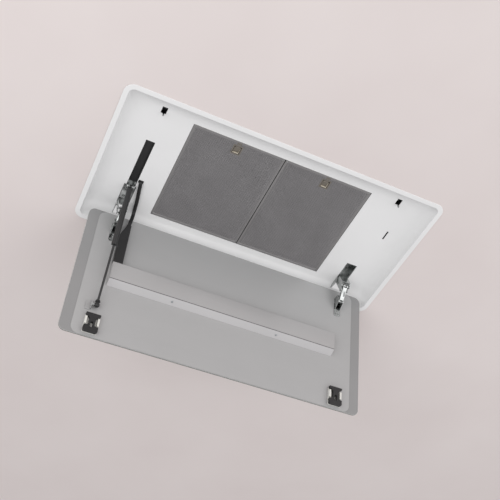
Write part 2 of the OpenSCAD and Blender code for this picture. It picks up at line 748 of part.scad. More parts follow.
// Electrical boxes and the inlet of the mains lead
control_room = 62;
control_l = fan_x - scroll_r1 + box_l / 2 - control_room;
control_w = 160;
control_h = 46;
control_gap = 8;
lid_t = 2;
lid_over = 3;
module control_box() {
    translate([box_t + control_gap + control_l / 2 - box_l / 2, box_y, box_roof - control_h]) color(white) {
        translate([0, 0, lid_t]) slab(control_l, control_w, lid_over, control_h - lid_t);
        slab(control_l + 2 * lid_over, control_w + 2 * lid_over, 2 * lid_over, lid_t);
    }
}
driver_l = 32;
driver_w = 140;
driver_h = 24;
driver_inset = 59;
driver_x = driver_inset - mouth_l / 2;
driver_foot = 18;
driver_back = 107;
driver_y = grommet_y - driver_back;
module lamp_driver() {
    color(white) translate([driver_x, driver_y, floor_top]) {
        slab(driver_l, driver_w, lid_over, driver_h);
        slab(driver_l, driver_w + driver_foot, lid_over, lid_t);
    }
}
gland_nut_r = 13;
gland_nut_h = 5;
gland_l = 22;
gland_bore_r = 4;
module mains_gland() {
    color(black) translate([-box_l / 2, gland_y, gland_z]) rotate([0, -90, 0]) difference() {
        union() {
            translate([0, 0, -box_t - gland_nut_h])
                cylinder(r = gland_r, h = gland_l + gland_nut_h, $fn = round_n);
            cylinder(r = gland_nut_r, h = gland_nut_h, $fn = 6);
            translate([0, 0, -box_t - gland_nut_h]) cylinder(r = gland_nut_r, h = gland_nut_h, $fn = 6);
        }
        translate([0, 0, -box_t - gland_nut_h - cut])
            cylinder(r = gland_bore_r, h = gland_l + 2 * gland_nut_h + 2 * cut, $fn = round_n);
    }
}

// Strut pocket: a black trough that takes the strut when the door is shut
pocket_wall = 1.2;
pocket_top = 38;
pocket_lip = 8;
module strut_pocket() {
    half = pocket_half - gap;
    color(black) difference() {
        union() {
            translate([-pocket_x - half, pocket_y0 + gap, recess_d])
                cube([2 * half, pocket_y1 - pocket_y0 - gap, pocket_top - recess_d]);
            translate([-pocket_x - half - pocket_lip, pocket_y0 - pocket_lip, floor_top])
                cube([2 * (half + pocket_lip), pocket_y1 - pocket_y0 + pocket_lip, pocket_wall]);
        }
        translate([-pocket_x - half + pocket_wall, pocket_y0 + gap + pocket_wall, recess_d - cut])
            cube([2 * (half - pocket_wall), pocket_y1 - pocket_y0,
                pocket_top - recess_d - pocket_wall + cut]);
        translate([-pocket_x + half, grommet_y - pocket_lip, floor_top - cut])
            cube([pocket_lip + cut, pocket_y1 - grommet_y + pocket_lip + cut, pocket_wall + 2 * cut]);
    }
}
module lead_grommet() {
    neck_l = grommet_l + 2 * grommet_wall - 2 * fit;
    neck_w = grommet_w + 2 * grommet_wall - 2 * fit;
    color(black) translate([grommet_x, grommet_y, recess_d]) difference() {
        union() {
            slab(neck_l, neck_w, grommet_wall, sheet_t);
            for (z = [-grommet_wall, sheet_t]) translate([0, 0, z])
                slab(neck_l + 2 * grommet_lip, neck_w + 2 * grommet_lip, grommet_wall, grommet_wall);
        }
        translate([0, 0, -grommet_wall - cut])
            slab(grommet_l, grommet_w, grommet_wall, sheet_t + 2 * (grommet_wall + cut));
    }
}

// Strikers: a box above each receptacle with a post that enters the catch when the door is shut
post_r = 2.5;
post_inset = 27.5;
post_s = glass_w - post_inset;
post_tip_t = 9;
striker_wall = 1.2;
striker_top = 46;
striker_lip = 5;
module striker_boxes() {
    color(black) for (side = sides) translate([side * receptacle_x, receptacle_y, floor_top]) difference() {
        union() {
            slab(receptacle_l + 2 * striker_wall, receptacle_w + 2 * striker_wall, striker_wall,
                striker_top - floor_top);
            slab(receptacle_l + 2 * striker_lip, receptacle_w + 2 * striker_lip, striker_lip, striker_wall);
        }
        translate([0, 0, -cut])
            slab(receptacle_l, receptacle_w, striker_wall, striker_top - floor_top - striker_wall + cut);
    }
}
module striker_posts() {
    p = shut(post_s, post_tip_t);
    top = striker_top - striker_wall;
    color(chrome) for (side = sides) translate([side * receptacle_x, p[0], p[1]]) {
        translate([0, 0, post_r]) cylinder(r = post_r, h = top - p[1] - post_r, $fn = small_n);
        cylinder(r1 = post_r / 2, r2 = post_r, h = post_r, $fn = small_n);
    }
}
sensor_l = 12;
sensor_w = 38;
sensor_h = 16;
module door_sensor() {
    color(black) translate([sensor_slot_x, sensor_slot_y, floor_top]) difference() {
        slab(sensor_l, sensor_w, lid_over / 2, sensor_h);
        translate([0, 0, -cut]) slab(sensor_slot_w, sensor_slot_l, lid_t, sensor_h / 2 + cut);
    }
}

// Hinge channels: inverted troughs through the tray floor, with feet on its upper side
channel_foot = 10;
channel_roof = channel_top - link_t;
channel_foot_l = wide_pin[0] - rivet_head_r - layer_gap - channel_y0;
channel_screw_share = 0.32;
roof_screw_back = 4;
roof_screw_y = main_pin[0] - roof_screw_back;
channel_hub = 6.5;
channel_hub_run = 7.8;
channel_hub_slope = 14.3;
module channel_profile() {
    polygon([[channel_y0, recess_d], [main_pin[0] - channel_hub_slope, recess_d],
        main_pin + [-channel_hub_run, -channel_hub], main_pin + [channel_hub_run, -channel_hub],
        [channel_y1, recess_d - channel_hub], [channel_y1, channel_top], [channel_y0, channel_top]]);
}
module at_channel_screws() {
    for (side = sides) for (k = sides)
        translate([side * (wall_out + channel_foot / 2),
            channel_y0 + channel_foot_l * (1 / 2 + channel_screw_share * k), floor_top + link_t]) children();
}
module channel() {
    difference() {
        union() {
            both_layers(wall_in, wall_out) channel_profile();
            translate([-wall_out, channel_y0, channel_roof]) cube([2 * wall_out, channel_l, link_t]);
            for (side = sides)
                translate([side > 0 ? wall_in : -wall_out - channel_foot, channel_y0, floor_top])
                cube([channel_foot + link_t, channel_foot_l, link_t]);
        }
        for (p = [main_pin, wide_pin]) across(p, -wall_out - cut, wall_out + cut, hole_r);
        at_channel_screws() screw_hole(link_t + cut);
        translate([0, roof_screw_y, channel_roof]) cylinder(r = screw_hole_r, h = 3 * link_t, $fn = small_n);
    }
}
module hinge_channels() {
    color(chrome) at_hinges() channel();
}
module hinge_channel_screws() {
    color(chrome) at_hinges() {
        at_channel_screws() screw(link_t);
        translate([0, roof_screw_y, channel_roof]) rotate([180, 0, 0]) screw(link_t + screw_head_h);
        translate([0, roof_screw_y, channel_top]) difference() {
            cylinder(r = bolt_head_r, h = screw_head_h, $fn = 6);
            translate([0, 0, -cut]) cylinder(r = screw_hole_r, h = screw_head_h + 2 * cut, $fn = small_n);
        }
    }
}
// Stub rivets of the channel, flush on their inner side because other links pass there
module hinge_channel_rivets() {
    color(chrome) at_hinges() for (side = sides) scale([side, 1, 1]) {
        across(main_pin, main_in, wall_out, pin_r);
        across(main_pin, wall_out, wall_out + rivet_head_h, rivet_head_r);
        across(wide_pin, wide_in, wall_out, pin_r);
        across(wide_pin, wall_out, wall_out + rivet_head_h, rivet_head_r);
    }
}
module hinge_main_links() {
    color(chrome) at_hinges() difference() {
        both_layers(main_in, main_out) {
            bar(main_pin, knuckle_pin, link_r);
            bar(knuckle_pin, guide_pin, guide_r);
        }
        for (p = [main_pin, knuckle_pin, guide_pin]) across(p, -main_out - cut, main_out + cut, hole_r);
    }
}
module hinge_link_pins() {
    color(chrome) at_hinges() rivet(guide_pin, main_out);
}
wide_dir = unit(elbow_pin - wide_pin);
wide_front = [wide_dir[1], -wide_dir[0]];
wide_web_a = wide_pin + wide_front * wide_web_in;
wide_web_b = elbow_pin - wide_dir * wide_web_back + wide_front * wide_web_in;
module hinge_wide_links() {
    out = wide_front * wide_web_t;
    color(chrome) at_hinges() difference() {
        union() {
            both_layers(wide_in, wide_out) {
                bar(wide_pin, elbow_pin, link_r);
                polygon([wide_pin, elbow_pin - wide_dir * wide_web_back / 5, wide_web_b,
                    wide_web_b + out, wide_web_a + out, wide_web_a]);
            }
            from_side(-wide_out, wide_out)
                polygon([wide_web_a, wide_web_b, wide_web_b + out, wide_web_a + out]);
        }
        for (p = [wide_pin, elbow_pin]) across(p, -wide_out - cut, wide_out + cut, hole_r);
    }
}
arm_dir = unit(foot_pin - elbow_pin);
arm_front = aside(arm_dir);
module hinge_arms() {
    a = elbow_pin + arm_dir * link_r + arm_front * link_r;
    b = foot_pin - arm_dir * link_r + arm_front * link_r;
    color(chrome) at_hinges() difference() {
        union() {
            both_layers(arm_in, arm_out) bar(elbow_pin, foot_pin, link_r);
            from_side(-arm_out, arm_out)
                polygon([a, b, b - arm_front * arm_web_t, a - arm_front * arm_web_t]);
        }
        for (p = [elbow_pin, knuckle_pin, foot_pin]) across(p, -arm_out - cut, arm_out + cut, hole_r);
    }
}
module hinge_arm_pins() {
    color(chrome) at_hinges() {
        rivet(knuckle_pin, main_out);
        rivet(elbow_pin, wide_out);
    }
}
module hinge_guide_links() {
    color(steel_grey) at_hinges() difference() {
        from_side(-guide_half, guide_half) bar(upper_foot_pin, guide_pin, guide_r);
        for (p = [upper_foot_pin, guide_pin]) across(p, -guide_half - cut, guide_half + cut, hole_r);
    }
}

// Hinge feet: cheeks on a base plate that is screwed to the back plate
foot_s0 = 26;
foot_s1 = 86;
foot_half = 10;
foot_base_t = 1.5;
foot_screws = [[0, 0.75], [-0.5, 0.9], [0.5, 0.9]];
foot_rise = 6;
module at_foot_screws() {
    for (share = foot_screws) on_door(share[0] * foot_half, foot_s0 + share[1] * (foot_s1 - foot_s0),
        plate_t + foot_base_t) children();
}
module hinge_feet() {
    low = shut(foot_pin_s, foot_pin_t);
    high = low + turned(guide_shift, -open_angle);
    base = plate_t + foot_base_t;
    color(chrome) hanging() at_hinges() difference() {
        union() {
            both_layers(foot_in, foot_out) {
                bar(low, high, link_r);
                polygon([shut(foot_s0, plate_t), shut(foot_s0, base + foot_rise),
                    high + [link_r, 0], high, low, low - [link_r, 0],
                    shut(foot_s1 - 2 * foot_half, base), shut(foot_s1 - foot_half, plate_t)]);
            }
            on_door(0, (foot_s0 + foot_s1) / 2, plate_t)
                slab(2 * foot_half, foot_s1 - foot_s0, foot_half / 2, foot_base_t);
        }
        for (p = [low, high]) across(p, -foot_out - cut, foot_out + cut, hole_r);
        at_foot_screws() screw_hole(foot_base_t + cut / 2);
    }
}
module hinge_foot_pins() {
    color(chrome) at_hinges() {
        rivet(foot_pin, foot_out);
        rivet(upper_foot_pin, foot_out);
    }
}
foot_screw_r = 2.6;
module hinge_foot_screws() {
    color(chrome) hanging() at_hinges() at_foot_screws() {
        cylinder(r = foot_screw_r, h = screw_head_h / 2, $fn = small_n);
        translate([0, 0, -foot_base_t]) cylinder(r = screw_r, h = foot_base_t, $fn = small_n);
    }
}

// Gas strut from a fork in the left channel to a ball on the door
strut_pin = [channel_y0, 25];
ball_rest = hung(ball_s, ball_t);
ball_shut = shut(ball_s, ball_t);
strut_dir = unit(ball_rest - strut_pin);
strut_angle = atan2(strut_dir[1], strut_dir[0]);
strut_open_l = norm(ball_rest - strut_pin);
strut_shut_l = norm(ball_shut - strut_pin);
tube_start = 8;
tube_wall = 1.2;
eye_r = 5.5;
eye_half = 2.5;
strut_pin_r = 3;
fork_in = 8.6;
fork_t = 1.5;
fork_out = fork_in + fork_t;
fork_w = 14;
guide_l = 6;
piston_t = 4;
socket_r = 7;
socket_neck_r = 4.5;
socket_neck_l = 13;
ball_r = 4.5;
stud_r = 2.5;
stud_flange_r = 5;
stud_flange_t = 2;
stud_l = 12;
// Along the strut from its upper pin towards the ball
module along_strut(d) {
    translate([-strut_x, strut_pin[0], strut_pin[1]]) rotate([strut_angle, 0, 0]) translate([0, d, 0])
        rotate([-90, 0, 0]) children();
}
module strut_fork() {
    roof_half = fork_w / 2;
    color(chrome) translate([-strut_x, 0, 0]) difference() {
        union() {
            both_layers(fork_in, fork_out) {
                translate(strut_pin) circle(fork_w / 2, $fn = small_n);
                translate([strut_pin[0] - fork_w / 2, strut_pin[1]])
                    square([fork_w, channel_roof - strut_pin[1]]);
            }
            translate([-fork_out, strut_pin[0] - roof_half, channel_roof - link_t])
                cube([2 * fork_out, fork_w, link_t]);
        }
        across(strut_pin, -fork_out - cut, fork_out + cut, strut_pin_r + fit);
    }
    color(chrome) translate([-strut_x, 0, 0]) {
        across(strut_pin, -fork_out, fork_out, strut_pin_r);
        across(strut_pin, fork_out, fork_out + rivet_head_h, strut_pin_r + rivet_head_h);
        across(strut_pin, -fork_out - rivet_head_h, -fork_out, strut_pin_r + rivet_head_h);
    }
}
module strut_tube() {
    color(black) {
        difference() {
            union() {
                translate([-strut_x, 0, 0]) across(strut_pin, -eye_half, eye_half, eye_r);
                along_strut(0) translate([-eye_half, -eye_half, 0])
                    cube([2 * eye_half, 2 * eye_half, tube_start + tube_wall / 2]);
            }
            translate([-strut_x, 0, 0]) across(strut_pin, -eye_half - cut, eye_half + cut, strut_pin_r + fit);
        }
        along_strut(tube_start) difference() {
            cylinder(r = tube_r, h = tube_l, $fn = round_n);
            translate([0, 0, tube_wall]) cylinder(r = tube_r - tube_wall, h = tube_l, $fn = round_n);
        }
    }
}
module strut_guide() {
    color(black) along_strut(tube_start + tube_l - guide_l) difference() {
        cylinder(r = tube_r - tube_wall - fit, h = guide_l, $fn = round_n);
        translate([0, 0, -cut]) cylinder(r = rod_r + fit, h = guide_l + 2 * cut, $fn = round_n);
    }
}
rod_back = strut_shut_l - tube_start - tube_wall - gap;
module strut_rod() {
    color(black) {
        along_strut(strut_open_l - rod_back)
            cylinder(r = rod_r, h = rod_back - socket_neck_l, $fn = small_n);
        along_strut(strut_open_l - rod_back)
            cylinder(r = tube_r - tube_wall - fit, h = piston_t, $fn = round_n);
    }
}
module strut_socket() {
    color(black) difference() {
        union() {
            along_strut(strut_open_l - socket_neck_l)
                cylinder(r = socket_neck_r, h = socket_neck_l, $fn = round_n);
            along_strut(strut_open_l) sphere(r = socket_r, $fn = round_n);
        }
        along_strut(strut_open_l) sphere(r = ball_r + fit, $fn = round_n);
        translate([-strut_x, 0, 0]) across(ball_rest, -2 * socket_r, 0, stud_r + gap);
    }
}
module strut_stud() {
    color(chrome) translate([-strut_x, 0, 0]) {
        translate([0, ball_rest[0], ball_rest[1]]) sphere(r = ball_r, $fn = round_n);
        across(ball_rest, -stud_l, 0, stud_r);
        across(ball_rest, -stud_l, -stud_l + stud_flange_t, stud_flange_r);
    }
}
bracket_ear_t = 2;
bracket_ear_r = 7;
bracket_base_w = 14;
bracket_base_l = 26;
module strut_bracket() {
    x1 = -strut_x - stud_l - gap;
    color(zinc) hanging() {
        from_side(x1 - bracket_ear_t, x1) {
            translate(ball_shut) circle(bracket_ear_r, $fn = small_n);
            polygon([shut(ball_s - bracket_base_l / 2, plate_t), shut(ball_s + bracket_base_l / 2, plate_t),
                ball_shut - [bracket_ear_r, 0], ball_shut + [bracket_ear_r, 0]]);
        }
        on_door(x1 - bracket_base_w / 2, ball_s, plate_t)
            slab(bracket_base_w, bracket_base_l, bracket_ear_t, bracket_ear_t);
    }
}

// Door: glass pane, steel back plate with a window for the lamp, and the lamp's housing
glass_mid_s = glass_w / 2;
window_inset = 15;
window_l = 2 * (lamp_half - window_inset);
lamp_mid_s = lamp_s + lamp_flat / 2;
lamp_foot_share = 1.5;
diffuser_lap = 2;
window_w = diffuser_w - 2 * diffuser_lap;
module door_glass() {
    color(glass_grey) hanging() on_door(0, glass_mid_s, -glass_t) slab(glass_l, glass_w, glass_r, glass_t);
}
module door_plate() {
    color(steel_grey) hanging() difference() {
        on_door(0, glass_mid_s, 0)
            slab(glass_l - 2 * plate_margin_x, glass_w - 2 * plate_margin_y, plate_r, plate_t);
        on_door(0, lamp_mid_s, -cut) slab(window_l, window_w, window_w / 4, plate_t + 2 * cut);
    }
}
module lamp_profile(inset) {
    base = plate_t - (inset > 0 ? cut : 0);
    polygon([shut(lamp_s + inset, base), shut(lamp_s + inset, lamp_h - inset),
        shut(lamp_s + lamp_flat - inset / 2, lamp_h - inset),
        shut(lamp_s + lamp_flat + lamp_slope - lamp_foot_share * inset, base)]);
}
lamp_screw_x = 150;
lamp_lean = atan2(lamp_h - plate_t, lamp_slope);
module at_lamp_screws() {
    for (side = sides)
        on_door(side * lamp_screw_x, lamp_s + lamp_flat + lamp_slope / 2, (lamp_h + plate_t) / 2)
        rotate([lamp_lean, 0, 0]) children();
}
module lamp_housing() {
    color(steel_grey) hanging() difference() {
        from_side(-lamp_half, lamp_half) lamp_profile(0);
        from_side(-lamp_half + lamp_wall, lamp_half - lamp_wall) lamp_profile(lamp_wall);
        at_lamp_screws() screw_hole(lamp_wall + cut);
    }
}
lamp_screw_r = 3;
lamp_screw_h = 1.2;
module lamp_screws() {
    color(zinc) hanging() at_lamp_screws() {
        cylinder(r = lamp_screw_r, h = lamp_screw_h, $fn = small_n);
        translate([0, 0, -lamp_wall]) cylinder(r = screw_r, h = lamp_wall, $fn = small_n);
    }
}
board_t = 1.6;
board_gap = 6;
chip_count = 20;
chip_l = 5;
chip_h = 1;
module led_board() {
    z1 = lamp_h - lamp_wall;
    half = lamp_half - lamp_wall - board_gap;
    color(white) hanging() {
        door_slab(-half, half, lamp_mid_s - window_w / 2, lamp_mid_s + window_w / 2, z1 - board_t, z1);
        for (k = [0:chip_count - 1])
            on_door((k + 1 / 2 - chip_count / 2) * window_l / chip_count, lamp_mid_s, z1 - board_t - chip_h)
            slab(chip_l, chip_l, chip_h, chip_h);
    }
}
diffuser_t = 2;
module lamp_diffuser() {
    color("white") hanging() on_door(0, lamp_mid_s, plate_t)
        slab(window_l + diffuser_w - window_w, diffuser_w, window_w / 4, diffuser_t);
}

// Cable cover between the hinge side and the lamp housing
cover_w = 25.5;
cover_shoulder = 13;
cover_x0 = -lamp_half;
cover_x1 = cover_x0 + cover_w;
cover_neck_x0 = cover_x0 + cover_shoulder;
cover_s0 = 30;
cover_s_neck = 34;
cover_s_wide = 68;
cover_h = 17.5;
cover_wall = 1.2;
module cover_outline(inset) {
    over = inset > 0 ? cut : 0;
    polygon([[cover_x0 + inset, -lamp_s + inset], [cover_x0 + inset, -cover_s_wide - inset / 2],
        [cover_neck_x0 + inset, -cover_s_neck - inset / 2], [cover_neck_x0 + inset, -cover_s0 + over],
        [cover_x1 - inset, -cover_s0 + over], [cover_x1 - inset, -lamp_s + inset]]);
}
module cable_cover() {
    color(black) hanging() difference() {
        on_door(0, 0, plate_t) linear_extrude(cover_h - plate_t) cover_outline(0);
        on_door(0, 0, plate_t - cut) linear_extrude(cover_h - plate_t - cover_wall + cut)
            cover_outline(cover_wall);
    }
}

// Lamp lead, flat and bendable, from the grommet to the neck of the cable cover
lead_w = 10;
lead_t = 4.6;
lead_sides = 8;
// Places along the lead: X and Y from the middle of the grommet, Z from the rim's lower face
lead_places = [[-57.5, -35, 44], [-55.5, -28, 45], [-47.5, -17, 47], [-35.5, -8, 48],
    [-19.5, -2, 48], [-7.5, 0, 46], [-1, 0, 41], [0, 0, 34], [0, 0, 28.2], [0.3, 1.7, 25.6],
    [1, 5, 24.4], [2.7, 14.1, 24.4], [5, 26.4, 24.4], [7.5, 39.4, 24.4], [10.2, 54.1, 24.4],
    [12.6, 69.3, 24.4], [14.5, 84.3, 24.4], [16, 96.5, 22.6], [16.6, 103.4, 15],
    [15.6, 104.6, 4], [14, 104, -8], [12.6, 104, -18], [11.9, 107.5, -25.5],
    [11.75, 111, -32], [11.75, 113, -40], [11.75, 114.5, -47]];
lead_route = [for (p = lead_places) p + [grommet_x, grommet_y, 0]];
function lead_ring(k) = let (n = len(lead_route) - 1, p = lead_route[k],
    d = lead_route[min(k + 1, n)] - lead_route[max(k - 1, 0)], t = d / norm(d),
    b = cross([1, 0, 0], t), v = b / norm(b), u = cross(t, v))
    [for (i = [0:lead_sides - 1]) let (a = 360 * (i + 0.5) / lead_sides)
        p - u * lead_w / 2 * cos(a) + v * lead_t / 2 * sin(a)];
module lamp_lead() {
    color(black) loft([for (k = [0:len(lead_route) - 1]) lead_ring(k)]);
}

// Catches: a light base with rails, and a black sprung slide whose slot takes the striker post
catch_inset = 9;
catch_l = 51;
catch_s1 = glass_w - catch_inset;
catch_s0 = catch_s1 - catch_l;
catch_half = 18.5;
catch_x = receptacle_x;
base_t = 3;
rail_w = 5;
rail_h = 7;
slide_t0 = plate_t + base_t + gap;
slide_t1 = 13;
bar_l = 10;
block_l = 15;
block_step = 3;
waist_half = 8;
slot_half = 3.4;
slot_round = 3.2;
slot_inset = 12;
slot_l = 16;
slot_s1 = catch_s1 - slot_inset;
slot_s0 = slot_s1 - slot_l;
catch_travel = 3;
module catch_bases() {
    color(white) hanging() for (side = sides) translate([side * catch_x, 0, 0]) {
        door_slab(-catch_half, catch_half, catch_s0 + bar_l / 4, catch_s1, plate_t, plate_t + base_t);
        for (k = sides)
            door_slab(k > 0 ? catch_half - rail_w : -catch_half, k > 0 ? catch_half : rail_w - catch_half,
            catch_s0 + bar_l + gap, catch_s1 - block_l - block_step / 2 - catch_travel - gap,
            plate_t + base_t, plate_t + base_t + rail_h);
    }
}
module slide_outline() {
    s_bar = catch_s0 + bar_l;
    s_block = catch_s1 - block_l;
    square_top = [[-catch_half, -catch_s0], [-catch_half, -s_bar + bar_l / 2],
        [-waist_half, -s_bar - bar_l / 3],
        [-waist_half, -s_block + block_step], [-catch_half, -s_block], [-catch_half, -catch_s1 + block_step],
        [-catch_half + block_step, -catch_s1]];
    polygon(concat(square_top, [for (k = [len(square_top) - 1:-1:0]) [-square_top[k][0], square_top[k][1]]]));
}
module catch_slide(side) {
    color(black) hanging() difference() {
        union() {
            on_door(side * catch_x, 0, slide_t0) linear_extrude(slide_t1 - slide_t0) slide_outline();
        }
        on_door(side * catch_x, (slot_s0 + slot_s1) / 2, slide_t0 - cut)
            slab(2 * slot_half, slot_l, slot_round, slide_t1 - slide_t0 + 2 * cut);
    }
}
module catch_left() { catch_slide(left); }
module catch_right() { catch_slide(right); }

tray();
housing();
stud_nuts();
suspension_brackets();
filter_seat();
blower_scroll();
inlet_rings();
blower_mounts();
motor();
motor_bracket();
fan_wheel();
fan_shaft();
outlet_collar();
flap_axle();
flap_left();
flap_right();
control_box();
lamp_driver();
mains_gland();
strut_pocket();
lead_grommet();
striker_boxes();
striker_posts();
door_sensor();
hinge_channels();
hinge_channel_screws();
hinge_channel_rivets();
hinge_main_links();
hinge_link_pins();
hinge_wide_links();
hinge_arms();
hinge_arm_pins();
hinge_guide_links();
hinge_feet();
hinge_foot_pins();
hinge_foot_screws();
strut_fork();
strut_tube();
strut_guide();
strut_rod();
strut_socket();
strut_stud();
strut_bracket();
door_glass();
door_plate();
lamp_housing();
lamp_screws();
led_board();
lamp_diffuser();
cable_cover();
lamp_lead();
catch_bases();
catch_left();
catch_right();
filter_frame_left();
filter_mesh_left();
filter_latch_left();
filter_frame_right();
filter_mesh_right();
filter_latch_right();
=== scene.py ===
"""Looks of a flush ceiling range hood insert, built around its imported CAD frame."""

from __future__ import annotations

import json
from collections.abc import Callable, Iterable, Iterator, Sequence
from contextlib import contextmanager
from dataclasses import dataclass
from enum import Enum
from math import acos, atan2, copysign, cos, degrees, exp, pi, radians, sin

import bmesh
import bpy
from bpy.types import ID, Material, Mesh, MeshPolygon, Node, NodeSocket, NodeTree, Object, World
from mathutils import Matrix, Vector

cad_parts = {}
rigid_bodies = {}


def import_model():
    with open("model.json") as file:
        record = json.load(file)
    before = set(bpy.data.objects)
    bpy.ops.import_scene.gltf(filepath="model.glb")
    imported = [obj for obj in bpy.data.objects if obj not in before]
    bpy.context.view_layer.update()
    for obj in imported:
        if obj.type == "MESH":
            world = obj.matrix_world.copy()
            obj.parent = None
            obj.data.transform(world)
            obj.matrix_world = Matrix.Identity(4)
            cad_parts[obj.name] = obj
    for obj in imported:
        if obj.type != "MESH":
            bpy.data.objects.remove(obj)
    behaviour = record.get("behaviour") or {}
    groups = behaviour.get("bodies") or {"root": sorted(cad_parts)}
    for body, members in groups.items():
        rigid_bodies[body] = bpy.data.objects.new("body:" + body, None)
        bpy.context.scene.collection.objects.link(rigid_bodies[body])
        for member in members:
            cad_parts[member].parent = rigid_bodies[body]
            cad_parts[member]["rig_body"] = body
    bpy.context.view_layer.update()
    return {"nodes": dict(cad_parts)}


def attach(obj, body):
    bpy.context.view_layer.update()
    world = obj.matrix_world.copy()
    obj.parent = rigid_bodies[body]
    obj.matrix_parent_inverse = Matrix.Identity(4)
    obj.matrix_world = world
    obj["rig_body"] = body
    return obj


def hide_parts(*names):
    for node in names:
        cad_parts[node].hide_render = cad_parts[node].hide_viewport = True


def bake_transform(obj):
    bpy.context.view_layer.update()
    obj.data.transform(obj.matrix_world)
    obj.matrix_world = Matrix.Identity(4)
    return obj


MM = 0.001
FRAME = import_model()

Pair = tuple[float, float]
Point = tuple[float, float, float]
Area = tuple[float, float, float, float]
Strip = tuple[float, float, float, float, float]
Box = tuple[Point, Point]
Loop = list[Point]
Profile = Sequence[tuple[float, float, float]]
Part = tuple[str, "Finish", float] | tuple[str, "Finish", float, int]


class Side(Enum):
    """The two ends of the hood, by the sign of their place along X."""

    LEFT = -1
    RIGHT = 1

    @property
    def word(self) -> str:
        """Returns the word that node and body names end in."""
        return self.name.lower()


class Grain(Enum):
    """How the fine structure of a surface lies."""

    PEEL = "soft dimples of a sprayed or moulded surface"
    BRUSHED = "fine lines along one direction"
    SPANGLE = "zinc crystals"
    WEAVE = "crossed wires"


# Nodes and colours

CLOUD_RANGE = (0.2, 0.8)
CLOUD_DETAIL = 2.0
ROUGHNESS_SWING = 0.07
BUMP_STRENGTH = 0.5
COAT_ROUGHNESS = 0.06
WAVES_PER_GRAIN = 6
WAVE_DISTORTION = 0.4


def linear(code: str) -> tuple[float, float, float, float]:
    """Returns the linear colour of an sRGB hex code."""
    parts = [int(code[k : k + 2], 16) / 255 for k in (1, 3, 5)]
    flat = [c / 12.92 if c <= 0.04045 else ((c + 0.055) / 1.055) ** 2.4 for c in parts]
    return flat[0], flat[1], flat[2], 1.0


def empty_tree(owner: Material | World) -> NodeTree:
    """Returns the owner's node tree with nothing in it."""
    owner.use_nodes = True
    owner.node_tree.nodes.clear()
    return owner.node_tree


def add(
    tree: NodeTree, kind: str, inputs: dict[str | int, object] | None = None, **settings: object
) -> Node:
    """Adds a node, sets its options and fills or links its inputs.

    Args:
        tree: the tree that takes the node.
        kind: Blender's identifier of the node type.
        inputs: a value or an output socket for each input name or index.
        **settings: the node's own options.

    Returns:
        The new node.
    """
    node = tree.nodes.new(kind)
    for key, value in settings.items():
        setattr(node, key, value)
    for key, value in (inputs or {}).items():
        if isinstance(value, NodeSocket):
            tree.links.new(value, node.inputs[key])
        else:
            node.inputs[key].default_value = value
    return node


def blend_colour(tree: NodeTree, share: object, first: object, second: object) -> NodeSocket:
    """Returns a colour between two others."""
    node = add(tree, "ShaderNodeMix", {0: share, 6: first, 7: second}, data_type="RGBA")
    return node.outputs[2]


def times(tree: NodeTree, first: object, second: object) -> NodeSocket:
    """Returns the product of two values."""
    return add(tree, "ShaderNodeMath", {0: first, 1: second}, operation="MULTIPLY").outputs[0]


def spread(tree: NodeTree, value: object, low: float, high: float) -> NodeSocket:
    """Returns the cloud's values spread over the range from low to high."""
    return add(tree, "ShaderNodeMapRange", {
        "Value": value, "From Min": CLOUD_RANGE[0], "From Max": CLOUD_RANGE[1],
        "To Min": low, "To Max": high}).outputs[0]


